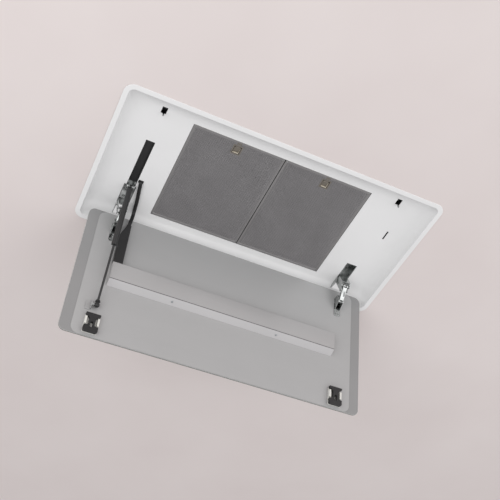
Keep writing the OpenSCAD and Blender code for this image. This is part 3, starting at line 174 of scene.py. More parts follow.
@dataclass(frozen=True)
class Finish:
    """A painted, plated, moulded or glazed surface with soft patches and a fine grain.

    Attributes:
        name: the material's name.
        slot: the record's material slot; not used.
        colour: the main colour as an sRGB hex code.
        patch: the colour of its soft patches.
        roughness: the middle of the roughness.
        metallic: 1 for bare metal.
        patch_mm: the size of the patches.
        grain: how the fine structure lies.
        grain_mm: the size of the fine structure.
        depth_mm: its depth.
        coat: the share of clear coat.
        along: how much longer the grain is along each axis.
    """

    name: str
    slot: str
    colour: str
    patch: str
    roughness: float
    metallic: float = 0.0
    patch_mm: float = 140.0
    grain: Grain = Grain.PEEL
    grain_mm: float = 1.6
    depth_mm: float = 0.01
    coat: float = 0.0
    along: Point = (1.0, 1.0, 1.0)

    def material(self) -> Material:
        """Returns the material, built at its first use."""
        found = bpy.data.materials.get(self.name)
        if found:
            return found
        made = bpy.data.materials.new(self.name)
        tree = empty_tree(made)
        shader = add(tree, "ShaderNodeBsdfPrincipled")
        place = add(tree, "ShaderNodeTexCoord").outputs["Object"]
        self.shade(tree, place, shader)
        add(tree, "ShaderNodeOutputMaterial", {"Surface": shader.outputs[0]})
        return made

    def shade(self, tree: NodeTree, place: NodeSocket, shader: Node) -> None:
        """Fills the shader's inputs.

        Args:
            tree: the material's tree.
            place: the object coordinates, in metres.
            shader: the surface shader.
        """
        cloud = self.noise(tree, place, self.patch_mm)
        squeeze = Vector((1 / self.along[0], 1 / self.along[1], 1 / self.along[2]))
        fine = add(tree, "ShaderNodeMapping", {"Vector": place, "Scale": squeeze}).outputs[0]
        pattern = self.pattern(tree, fine)
        share = spread(tree, cloud, 0.0, 1.0)
        if self.grain is not Grain.PEEL:
            share = times(tree, share, pattern)
        colour = blend_colour(tree, share, linear(self.colour), linear(self.patch))
        tree.links.new(colour, shader.inputs["Base Color"])
        low, high = 1 - ROUGHNESS_SWING, 1 + ROUGHNESS_SWING
        rough = spread(tree, cloud, low * self.roughness, high * self.roughness)
        tree.links.new(rough, shader.inputs["Roughness"])
        bump = add(tree, "ShaderNodeBump", {
            "Height": pattern, "Strength": BUMP_STRENGTH, "Distance": self.depth_mm * MM})
        tree.links.new(bump.outputs[0], shader.inputs["Normal"])
        shader.inputs["Metallic"].default_value = self.metallic
        shader.inputs["Coat Weight"].default_value = self.coat
        shader.inputs["Coat Roughness"].default_value = COAT_ROUGHNESS

    def noise(self, tree: NodeTree, place: NodeSocket, size_mm: float) -> NodeSocket:
        """Returns soft noise of one size."""
        return add(tree, "ShaderNodeTexNoise", {
            "Vector": place, "Scale": 1 / (size_mm * MM), "Detail": CLOUD_DETAIL}).outputs[0]

    def pattern(self, tree: NodeTree, place: NodeSocket) -> NodeSocket:
        """Returns the height of the fine structure."""
        scale = 1 / (self.grain_mm * MM)
        if self.grain is Grain.SPANGLE:
            cells = add(tree, "ShaderNodeTexVoronoi", {"Vector": place, "Scale": scale})
            return add(tree, "ShaderNodeSeparateColor", {0: cells.outputs["Color"]}).outputs[0]
        if self.grain is Grain.WEAVE:
            inputs = {"Vector": place, "Scale": scale / WAVES_PER_GRAIN,
                      "Distortion": WAVE_DISTORTION}
            waves = [add(tree, "ShaderNodeTexWave", inputs, bands_direction=axis).outputs[1]
                     for axis in ("X", "Y")]
            return times(tree, *waves)
        return self.noise(tree, place, self.grain_mm)


# White stove enamel: even, with a soft sheen and barely visible dimples.
ENAMEL = Finish("tray_enamel", "tray_paint", "#e4e4e4", "#dfdfdf", 0.34, coat=0.15)
# Galvanised sheet: pale grey with a faint play of zinc crystals, drawn larger than life.
ZINC = Finish("galvanised_sheet", "zinc_sheet", "#b4b8ba", "#8f9496", 0.42, 0.9,
    grain=Grain.SPANGLE, grain_mm=14, depth_mm=0.004)
# Bright nickel plating: near mirror, with a light haze.
CHROME = Finish("nickel_plated_steel", "chrome_steel", "#ced0cf", "#8e9190", 0.14, 1.0,
    patch_mm=14, grain_mm=0.9, depth_mm=0.002)
# Blackened steel of the guide links.
DARK_STEEL = Finish("blackened_steel", "dark_steel", "#4b4c4d", "#3a3b3c", 0.4, 0.7, patch_mm=20)
# Injection-moulded black plastic: satin, with a fine spark-eroded grain.
PLASTIC = Finish("black_moulded_plastic", "black_plastic", "#19191a", "#202021", 0.44,
    patch_mm=60, grain_mm=0.8, depth_mm=0.02)
# Black rubber: duller than the plastic.
RUBBER = Finish("black_rubber_sleeve", "black_rubber", "#131314", "#1a1a1a", 0.55,
    patch_mm=40, grain_mm=1.2, depth_mm=0.02)
# Black powder coat of the strut, with long soft highlights.
STRUT_PAINT = Finish("strut_powder_coat", "strut_paint", "#161617", "#1e1f20", 0.36, coat=0.2,
    patch_mm=60, grain_mm=0.9)
# Anodised aluminium of the filter frames.
FRAME_METAL = Finish("anodised_aluminium", "filter_frame", "#8c8a8a", "#7d7b7b", 0.4, 0.4,
    patch_mm=50, grain=Grain.BRUSHED, grain_mm=0.7, along=(12.0, 1.0, 1.0))
# Layers of expanded aluminium mesh: a fine weave behind the outer layer, painted dark as the shade
# it lies in.
MESH_CORE = Finish("mesh_pack_layers", "filter_mesh", "#7c7a7b", "#605e5f", 0.6, 0.2,
    patch_mm=8, grain=Grain.WEAVE, grain_mm=3.0, depth_mm=0.5)
# The outer strands of the mesh catch more light than the layers behind them.
MESH_WIRE = Finish("expanded_mesh_strands", "filter_mesh", "#a3a1a2", "#8f8d8e", 0.45, 0.4,
    patch_mm=60, grain_mm=1.0)
# Yellow passivated steel on the walls and lips of the latches, painted pale as a highlight, which
# makes them the palest part of the filters.
BRASS = Finish("yellow_passivated_steel", "latch_brass", "#e6dfd0", "#d6ccb8", 0.22, 0.25,
    patch_mm=15, grain_mm=0.7)
# The same plating, rougher and painted darker on the flat faces of the latches and around the cups:
# painted shade.
BRASS_DULL_SHADED = Finish("dull_passivated_steel", "latch_brass", "#7b756c", "#716b63", 0.55, 0.2,
    patch_mm=15, grain_mm=0.7)
# The same in the deep shade of the cup's walls.
BRASS_SHADE = Finish("shaded_passivated_steel", "latch_brass", "#3f3a34", "#37332e", 0.6, 0.2,
    patch_mm=15, grain_mm=0.7)
# Bright fan wheel steel with a rolled grain.
WHEEL_STEEL = Finish("rolled_wheel_steel", "wheel_steel", "#a9acae", "#94979a", 0.4, 0.9,
    grain=Grain.BRUSHED, grain_mm=0.8, along=(1.0, 1.0, 14.0))
# Grey hammered paint of the motor.
MOTOR_PAINT = Finish("motor_hammer_paint", "motor_paint", "#5d6164", "#4d5154", 0.4, 0.2,
    patch_mm=40, grain_mm=3.0, depth_mm=0.08)
# The door's ball bracket: the same sheet, painted like the plate it stands on.
BRACKET = Finish("painted_sheet", "zinc_sheet", "#a5a5a5", "#9e9e9e", 0.33, 0.1, patch_mm=20)
# Off-white moulded plastic.
WHITE_PLASTIC = Finish("white_moulded_plastic", "white_plastic", "#d8d7d2", "#cfcec8", 0.45,
    patch_mm=60, grain_mm=0.9, depth_mm=0.02)
# The pane's inner side: grey enamel fired on the glass, with a soft gloss.
PANE = Finish("enamelled_glass_back", "pane_glass", "#8d8d8d", "#858585", 0.31, coat=0.4,
    patch_mm=200, grain_mm=4.0, depth_mm=0.002)
# The pane's outer side: the same enamel seen through clear glass.
PANE_FRONT = Finish("enamelled_glass_front", "pane_glass", "#c4c5c4", "#bebfbe", 0.16, coat=0.8,
    patch_mm=240, grain_mm=6.0, depth_mm=0.001)
# The polished edge: dark green-grey, because one looks along the glass.
PANE_EDGE = Finish("polished_glass_edge", "pane_glass", "#474b43", "#565b52", 0.3,
    patch_mm=30, grain_mm=3.0, depth_mm=0.001)
# The narrow ground bevels on both sides of the edge.
PANE_BEVEL = Finish("ground_glass_bevel", "pane_glass", "#c9cbc8", "#bfc1be", 0.3, coat=0.5,
    patch_mm=30, grain_mm=2.0, depth_mm=0.001)
# The strip left free of enamel, with the milky diffuser behind it.
PANE_WINDOW = Finish("frosted_lamp_window", "diffuser", "#e3e5e4", "#d8dbda", 0.25, coat=0.6,
    patch_mm=80, grain_mm=2.0, depth_mm=0.002)
# Powder-coated steel plate with long faint streaks, which stand in for the soft streaks of
# reflected window light: painted reflection.
PLATE = Finish("plate_powder_coat", "plate_paint", "#a8a8a8", "#a2a2a2", 0.31, 0.12,
    grain=Grain.BRUSHED, patch_mm=160, grain_mm=9.0, depth_mm=0.002,
    along=(14.0, 1.0, 5.0))
# The lamp housing's paint, a shade lighter than the plate.
LAMP_PAINT = Finish("lamp_powder_coat", "lamp_paint", "#acabab", "#a6a5a5", 0.31, 0.12,
    patch_mm=180, grain_mm=1.4, depth_mm=0.004)
# The same paint on the sloping face, painted lighter as painted light, because that face is turned
# to the lighter side of the room.
LAMP_SLOPE = Finish("lamp_slope_powder_coat", "lamp_paint", "#c2c0c1", "#bbbaba", 0.33, 0.12,
    patch_mm=180, grain_mm=1.4, depth_mm=0.004)
# The shaded gap between the lamp housing's two faces.
GAP_SHADE = Finish("shaded_gap_paint", "lamp_paint", "#6a6a6a", "#626262", 0.6, patch_mm=60)
# White solder mask of the LED board.
BOARD = Finish("white_solder_mask", "board_white", "#e2e2de", "#d6d6d0", 0.4, patch_mm=30)
# Opal diffuser.
OPAL = Finish("opal_diffuser", "diffuser", "#e4e5e3", "#dcdddb", 0.3, patch_mm=60, coat=0.3)


# Meshes and pieces

BOX_FACES = ((0, 2, 3, 1), (4, 5, 7, 6), (0, 1, 5, 4), (2, 6, 7, 3), (0, 4, 6, 2), (1, 3, 7, 5))
MERGE_M = 2e-6
FLAT_DEGREES = 0.5
# Share of a face's normal along Z
FLAT, LEVEL, UPRIGHT = 0.99, 0.9, 0.1


def log(text: str) -> None:
    """Prints one line of progress."""
    print(f"[hood] {text}")


@contextmanager
def editing(mesh: Mesh) -> Iterator[bmesh.types.BMesh]:
    """Opens a mesh for changes and then writes them back."""
    form = bmesh.new()
    form.from_mesh(mesh)
    yield form
    form.to_mesh(mesh)
    form.free()


def mesh_from(name: str, points: Sequence[Point], faces: Sequence[Sequence[int]]) -> Mesh:
    """Returns a mesh with outward normals from places in millimetres."""
    mesh = bpy.data.meshes.new(name)
    mesh.from_pydata([(x * MM, y * MM, z * MM) for x, y, z in points], [], faces)
    with editing(mesh) as form:
        bmesh.ops.recalc_face_normals(form, faces=form.faces)
    return mesh


def lofted(name: str, loops: Sequence[Loop], ring: bool = False) -> Mesh:
    """Returns a closed shell through loops of equal length.

    Args:
        name: the mesh's name.
        loops: the loops, each a closed line of points in millimetres.
        ring: joins the last loop to the first, in place of caps at both ends.

    Returns:
        The mesh.
    """
    count = len(loops[0])
    points = [p for loop in loops for p in loop]
    faces: list[list[int]] = []
    for i in range(len(loops) if ring else len(loops) - 1):
        a, b = i * count, (i + 1) % len(loops) * count
        for k in range(count):
            j = (k + 1) % count
            faces.append([a + k, a + j, b + j, b + k])
    if not ring:
        faces.append(list(range(count)))
        faces.append(list(range(len(points) - count, len(points))))
    return mesh_from(name, points, faces)


def rounded_loop(length: float, width: float, radius: float, height: float, fine: int) -> Loop:
    """Returns a rectangle with round corners at one height, in millimetres."""
    loop: Loop = []
    for quarter in range(4):
        sx = 1 if quarter in (0, 3) else -1
        sy = 1 if quarter < 2 else -1
        for k in range(fine + 1):
            a = radians(90 * (quarter + k / fine))
            x = sx * (length / 2 - radius) + radius * cos(a)
            y = sy * (width / 2 - radius) + radius * sin(a)
            loop.append((x, y, height))
    return loop


def box_mesh(name: str, boxes: Iterable[Box]) -> Mesh:
    """Returns boxes from their lowest and highest corners, in one mesh."""
    points: list[Point] = []
    faces: list[list[int]] = []
    for box in boxes:
        n = len(points)
        points += [(box[i & 1][0], box[i >> 1 & 1][1], box[i >> 2 & 1][2]) for i in range(8)]
        faces += [[n + k for k in face] for face in BOX_FACES]
    return mesh_from(name, points, faces)


def strip_box(x: float, strip: Strip) -> Box:
    """Returns the corners of a box that lies evenly about a place along X."""
    half, y0, z0, y1, z1 = strip
    return (x - half, y0, z0), (x + half, y1, z1)


def new_object(name: str, data: ID) -> Object:
    """Returns an object of a mesh, a light or a camera, linked to the scene."""
    made = bpy.data.objects.new(name, data)
    bpy.context.scene.collection.objects.link(made)
    return made


def settle(made: Object) -> None:
    """Turns the object's modifiers into a plain mesh."""
    graph = bpy.context.evaluated_depsgraph_get()
    plain = bpy.data.meshes.new_from_object(made.evaluated_get(graph))
    made.modifiers.clear()
    made.data = plain


def soften(made: Object, edge_mm: float, steps: int, limit: float = 35.0) -> None:
    """Rounds the sharp edges and shades the rest smooth.

    Args:
        made: the object, whose mesh is merged.
        edge_mm: the width of the rounding, or 0 for none.
        steps: the faces across each rounding.
        limit: the angle above which an edge counts as sharp.
    """
    most = radians(limit)
    with editing(made.data) as form:
        if edge_mm > 0:
            sharp = [e for e in form.edges if e.is_manifold and e.calc_face_angle(0) > most]
            bmesh.ops.bevel(form, geom=sharp, offset=edge_mm * MM, segments=steps, profile=0.5,
                            affect="EDGES", clamp_overlap=True)
        for face in form.faces:
            face.smooth = True
        for edge in form.edges:
            edge.smooth = edge.is_manifold and edge.calc_face_angle(0) < most
    weight = made.modifiers.new("even_faces", "WEIGHTED_NORMAL")
    weight.keep_sharp = True
    settle(made)


def dress(made: Object, finish: Finish, body: str, stands_for: Sequence[str] = ()) -> Object:
    """Gives a piece its body, the CAD nodes it stands for and, if it has none, a finish.

    Args:
        made: the piece.
        finish: its finish.
        body: the CAD body it rides on.
        stands_for: the CAD nodes that it replaces.

    Returns:
        The piece.
    """
    if not any(made.data.materials):
        made.data.materials.clear()
        made.data.materials.append(finish.material())
    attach(made, body)
    for node in stands_for:
        paint_node(node, finish)
    if stands_for:
        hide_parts(*stands_for)
    log(f"{made.name}: {len(made.data.polygons)} faces on {body}")
    return made


def second_finish(made: Object, finish: Finish, picked: Callable[[MeshPolygon], bool]) -> None:
    """Gives the picked faces of a dressed piece another finish."""
    made.data.materials.append(finish.material())
    for face in made.data.polygons:
        if picked(face):
            face.material_index = len(made.data.materials) - 1


def paint_node(node: str, finish: Finish) -> None:
    """Gives a CAD node its finish."""
    mesh = FRAME["nodes"][node].data
    mesh.materials.clear()
    mesh.materials.append(finish.material())


def refined(node: str, finish: Finish, edge_mm: float = 0.3, steps: int = 2) -> Object:
    """Returns a copy of a CAD node with rounded edges, which stands for it.

    Args:
        node: the CAD node.
        finish: the finish of the copy and of the node.
        edge_mm: the width of the rounding.
        steps: the faces across each rounding.

    Returns:
        The new piece.
    """
    source = FRAME["nodes"][node]
    mesh = source.data.copy()
    mesh.materials.clear()
    with editing(mesh) as form:
        bmesh.ops.remove_doubles(form, verts=form.verts, dist=MERGE_M)
        bmesh.ops.dissolve_limit(
            form, angle_limit=radians(FLAT_DEGREES), verts=form.verts, edges=form.edges)
        bmesh.ops.recalc_face_normals(form, faces=form.faces)
    made = new_object(f"{node}_fine", mesh)
    soften(made, edge_mm, steps)
    return dress(made, finish, source["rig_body"], [node])


def refine_all(parts: Iterable[Part]) -> None:
    """Refines the CAD nodes of a table."""
    for part in parts:
        refined(*part)


def cut_boxes(made: Object, boxes: Iterable[Box]) -> None:
    """Cuts boxes out of a piece."""
    cut_out(made, box_mesh("cutter", boxes))


def cut_out(made: Object, shape: Mesh) -> None:
    """Cuts a closed shape out of a piece."""
    tool = new_object("cutter", shape)
    cut = made.modifiers.new("cut", "BOOLEAN")
    cut.object, cut.operation, cut.solver = tool, "DIFFERENCE", "EXACT"
    cut.use_self = True
    settle(made)
    bpy.data.objects.remove(tool)


def joined(name: str, meshes: Iterable[Mesh]) -> Mesh:
    """Returns one mesh that holds all the others."""
    form = bmesh.new()
    for mesh in meshes:
        form.from_mesh(mesh)
    whole = bpy.data.meshes.new(name)
    form.to_mesh(whole)
    form.free()
    return whole


# Places that several sub-assemblies share, in millimetres

HINGE_X = 338.0
FLOOR_TOP = 32.0
OPEN_DEGREES = 104.0
SWING = (182.0, 0.0)
PANE_EDGE_Y = 187.5
PANE_INNER_Z = 4.0


def hung(x: float, s: float, t: float) -> Point:
    """Returns where a place of the door hangs, in millimetres.

    Args:
        x: its place along the hood.
        s: its distance from the pane's hinge edge.
        t: its height above the pane's inner face.

    Returns:
        The place in the part's frame.
    """
    y, z = PANE_EDGE_Y - s - SWING[0], PANE_INNER_Z + t - SWING[1]
    a = radians(OPEN_DEGREES)
    c, n = cos(a), sin(a)
    return x, SWING[0] + y * c - z * n, SWING[1] + y * n + z * c


def hang_mesh(mesh: Mesh) -> Mesh:
    """Moves a mesh drawn as (x, -s, t) to where the door hangs."""
    for vertex in mesh.vertices:
        x, s, t = vertex.co.x / MM, -vertex.co.y / MM, vertex.co.z / MM
        vertex.co = Vector(hung(x, s, t)) * MM
    return mesh


# Patterns


class PatternTree:
    """A geometry tree with named inputs that ends in real geometry and a material."""

    def __init__(self, name: str, sockets: dict[str, str]) -> None:
        """Starts the tree.

        Args:
            name: the tree's name.
            sockets: the socket type of each named input.
        """
        self.tree = bpy.data.node_groups.new(name, "GeometryNodeTree")
        face = self.tree.interface
        face.new_socket("Geometry", in_out="INPUT", socket_type="NodeSocketGeometry")
        for label, kind in {**sockets, "Finish": "NodeSocketMaterial"}.items():
            face.new_socket(label, in_out="INPUT", socket_type=kind)
        face.new_socket("Geometry", in_out="OUTPUT", socket_type="NodeSocketGeometry")
        self.given = self.tree.nodes.new("NodeGroupInput").outputs

    def close(self, geometry: NodeSocket) -> None:
        """Ends the tree with real geometry that carries the material."""
        real = add(self.tree, "GeometryNodeRealizeInstances", {0: geometry})
        painted = add(self.tree, "GeometryNodeSetMaterial", {
            "Geometry": real.outputs[0], "Material": self.given["Finish"]})
        add(self.tree, "NodeGroupOutput", {0: painted.outputs[0]})

    def run(self, base: Object, values: dict[str, object]) -> None:
        """Applies the tree to an object as a plain mesh."""
        step = base.modifiers.new("pattern", "NODES")
        step.node_group = self.tree
        for item in self.tree.interface.items_tree:
            if item.item_type == "SOCKET" and item.name in values:
                step[item.identifier] = values[item.name]
        settle(base)


class StrandPattern(PatternTree):
    """Expanded mesh: zigzag strands side by side that meet at their corners."""

    def __init__(self) -> None:
        """Builds the tree."""
        super().__init__("expanded_mesh", {
            "Corner": "NodeSocketVector", "Steps": "NodeSocketInt", "Rows": "NodeSocketInt",
            "Pitch": "NodeSocketFloat", "Wire": "NodeSocketFloat"})
        tree, given = self.tree, self.given
        line = add(tree, "GeometryNodeMeshLine", {
            "Count": given["Steps"], "Offset": self.vector(given["Pitch"], None)})
        index = add(tree, "GeometryNodeInputIndex").outputs[0]
        odd = add(tree, "ShaderNodeMath", {0: index, 1: 2.0}, operation="MODULO").outputs[0]
        sway = times(tree, odd, given["Pitch"])
        bent = add(tree, "GeometryNodeSetPosition", {
            "Geometry": line.outputs[0], "Offset": self.vector(None, sway)})
        path = add(tree, "GeometryNodeMeshToCurve", {0: bent.outputs[0]})
        section = add(tree, "GeometryNodeCurvePrimitiveCircle", {
            "Resolution": 4, "Radius": given["Wire"]})
        strand = add(tree, "GeometryNodeCurveToMesh", {
            0: path.outputs[0], "Profile Curve": section.outputs[0], "Fill Caps": True})
        rows = add(tree, "GeometryNodeMeshLine", {
            "Count": given["Rows"], "Start Location": given["Corner"],
            "Offset": self.vector(None, given["Pitch"])})
        shift = add(tree, "GeometryNodeSetPosition", {
            "Geometry": rows.outputs[0], "Offset": self.vector(sway, None)})
        many = add(tree, "GeometryNodeInstanceOnPoints", {
            "Points": shift.outputs[0], "Instance": strand.outputs[0]})
        self.close(many.outputs[0])

    def vector(self, x: object, y: object) -> NodeSocket:
        """Returns a vector of two parts, either of which may be left out."""
        parts = {k: v for k, v in ((0, x), (1, y)) if v is not None}
        return add(self.tree, "ShaderNodeCombineXYZ", parts).outputs[0]


class FastenerPattern(PatternTree):
    """Copies of one fastener at the vertices of a mesh, each turned as its vertex says."""

    def __init__(self) -> None:
        """Builds the tree."""
        super().__init__("fasteners", {"Fastener": "NodeSocketObject"})
        tree, given = self.tree, self.given
        one = add(tree, "GeometryNodeObjectInfo", {"Object": given["Fastener"]})
        turn = add(
            tree, "GeometryNodeInputNamedAttribute", {"Name": "turn"}, data_type="FLOAT_VECTOR")
        rotation = add(tree, "FunctionNodeEulerToRotation", {0: turn.outputs[0]})
        many = add(tree, "GeometryNodeInstanceOnPoints", {
            "Points": given["Geometry"], "Instance": one.outputs["Geometry"],
            "Rotation": rotation.outputs[0]})
        self.close(many.outputs[0])


def lobed(profile: Profile, sides: int, lobes: int) -> Mesh:
    """Returns a turned shape whose rings may swell in lobes.

    Args:
        profile: radius, height and share of lobe for each ring, in millimetres.
        sides: the points around.
        lobes: the number of lobes.

    Returns:
        The mesh.
    """
    loops: list[Loop] = []
    for radius, height, swell in profile:
        loop: Loop = []
        for k in range(sides):
            a = 2 * pi * k / sides
            r = radius * (1 - swell * (1 - cos(lobes * a)) / 2)
            loop.append((r * cos(a), r * sin(a), height))
        loops.append(loop)
    return lofted("turned", loops)


@dataclass
class Fasteners:
    """One kind of fastener at several places.

    Attributes:
        name: the piece's name.
        finish: its finish.
        body: the CAD body it rides on.
        profile: the turned shape, see lobed().
        places: place in millimetres and turn in degrees about X of each one.
        nodes: the CAD nodes that it stands for.
        lobes: the lobes of the recess.
    """

    name: str
    finish: Finish
    body: str
    profile: Profile
    places: Sequence[tuple[Point, float]]
    nodes: Sequence[str] = ()
    lobes: int = 4

    def build(self, pattern: FastenerPattern) -> Object:
        """Builds the fasteners with the pattern."""
        one = new_object("one_fastener", lobed(self.profile, 24, self.lobes))
        for face in one.data.polygons:
            face.use_smooth = len(face.vertices) == 4
        points = bpy.data.meshes.new(self.name)
        points.from_pydata([tuple(c * MM for c in p) for p, _ in self.places], [], [])
        turn = points.attributes.new("turn", "FLOAT_VECTOR", "POINT")
        for item, (_, angle) in zip(turn.data, self.places):
            item.vector = (radians(angle), 0.0, 0.0)
        made = new_object(self.name, points)
        pattern.run(made, {"Fastener": one, "Finish": self.finish.material()})
        bpy.data.objects.remove(one)
        soften(made, 0, 1, 40.0)
        return dress(made, self.finish, self.body, self.nodes)


def pan_head(radius: float, height: float, shank: float) -> Profile:
    """Returns the profile of a low domed screw with a four-lobed recess and its shank."""
    return [
        (radius * 0.5, -shank, 0.0), (radius * 0.5, 0.0, 0.0), (radius, 0.0, 0.0),
        (radius, height * 0.35, 0.0), (radius * 0.9, height * 0.75, 0.0),
        (radius * 0.7, height, 0.0), (radius * 0.55, height, 0.5),
        (radius * 0.4, height * 0.4, 0.5),
    ]


def button(radius: float, height: float, root: float = 0.2) -> Profile:
    """Returns the profile of a plain round rivet head."""
    return [
        (radius, -root, 0.0), (radius, 0.25 * height, 0.0), (radius * 0.85, 0.7 * height, 0.0),
        (radius * 0.5, 0.95 * height, 0.0), (radius * 0.12, height, 0.0),
    ]


# Sub-assemblies


@dataclass
class Tray:
    """The pressed pan with its rim, curved wall and openings."""

    fine: int = 16
    wall_steps: int = 22
    edge_steps: int = 5
    rim: Pair = (900.0, 440.0)
    rim_corner: float = 26.0
    rim_thick: float = 2.0
    rim_soft: float = 0.8
    mouth: Pair = (874.0, 414.0)
    mouth_corner: float = 15.0
    mouth_soft: float = 0.9
    depth: float = 29.3
    floor_corner: float = 50.0
    wall_run: float = 40.0
    sheet: float = 1.2
    outer_start: float = 1.8
    # Lowest X and Y and highest X and Y of each opening; channel and receptacle from the hinge
    filter_hole: Area = (-257.0, -161.5, 257.0, 152.5)
    pocket_hole: Area = (-349.0, -68.0, -325.0, 84.8)
    channel_hole: Area = (-16.7, 84.3, 16.7, 187.7)
    receptacle_hole: Area = (-7.0, -176.0, 7.0, -157.0)
    sensor_hole: Area = (364.7, -65.0, 369.3, -35.0)
    grommet_hole: Area = (-322.8, 58.3, -310.2, 65.7)
    parts: Sequence[Part] = (
        ("lead_grommet", RUBBER, 0.3), ("strut_pocket", PLASTIC, 0.4),
        ("striker_boxes", PLASTIC, 0.4), ("striker_posts", CHROME, 0.2),
        ("door_sensor", PLASTIC, 0.5), ("filter_seat", ZINC, 0.2),
    )

    def loop(self, size: Pair, growth: float, corner: float, height: float) -> Loop:
        """Returns a loop whose length and width are larger than a size by its growth."""
        return rounded_loop(size[0] + growth, size[1] + growth, corner, height, self.fine)

    def wall(self, a: float, t: float) -> Loop:
        """Returns the wall's loop at an angle from the floor, on its inner or outer side."""
        growth = -2 * self.wall_run * (1 - sin(a)) + 2 * t * sin(a)
        corner = self.floor_corner - (self.floor_corner - self.mouth_corner) * sin(a)
        return self.loop(self.mouth, growth, corner, (self.depth + t) * cos(a))

    def build(self) -> None:
        """Builds the pan in place of its CAD node."""
        last = acos(self.mouth_soft / self.depth)
        loops = [self.wall(last * k / self.wall_steps, 0) for k in range(self.wall_steps)]
        quarter = [pi / 2 * k / (self.edge_steps - 1) for k in range(self.edge_steps)]
        for a in quarter:
            out = self.mouth_soft * (1 - cos(a))
            loops.append(self.loop(
                self.mouth, 2 * out, self.mouth_corner + out, self.mouth_soft * (1 - sin(a))))
        for a in quarter:
            back = self.rim_soft * (1 - sin(a))
            loops.append(self.loop(
                self.rim, -2 * back, self.rim_corner, self.rim_soft * (1 - cos(a))))
        loops.append(self.loop(self.rim, 0, self.rim_corner, self.rim_thick))
        loops.append(self.loop(self.mouth, 2 * self.sheet, self.mouth_corner, self.rim_thick))
        start = acos(self.outer_start / (self.depth + self.sheet))
        loops += [
            self.wall(start * k / self.wall_steps, self.sheet)
            for k in range(self.wall_steps, -1, -1)
        ]
        made = new_object("tray_pressed", lofted("tray_pressed", loops))
        cut_boxes(made, self.openings())
        soften(made, 0, 1, 30.0)
        dress(made, ENAMEL, "root", ["tray"])
        refine_all(self.parts)

    def openings(self) -> list[Box]:
        """Returns the boxes cut out of the floor."""
        holes = [(0.0, self.filter_hole), (0.0, self.pocket_hole)]
        for side in Side:
            x = HINGE_X * side.value
            holes += [(x, self.channel_hole), (x, self.receptacle_hole)]
        holes += [(0.0, self.sensor_hole), (0.0, self.grommet_hole)]
        return [((x + x0, y0, 0.0), (x + x1, y1, FLOOR_TOP)) for x, (x0, y0, x1, y1) in holes]


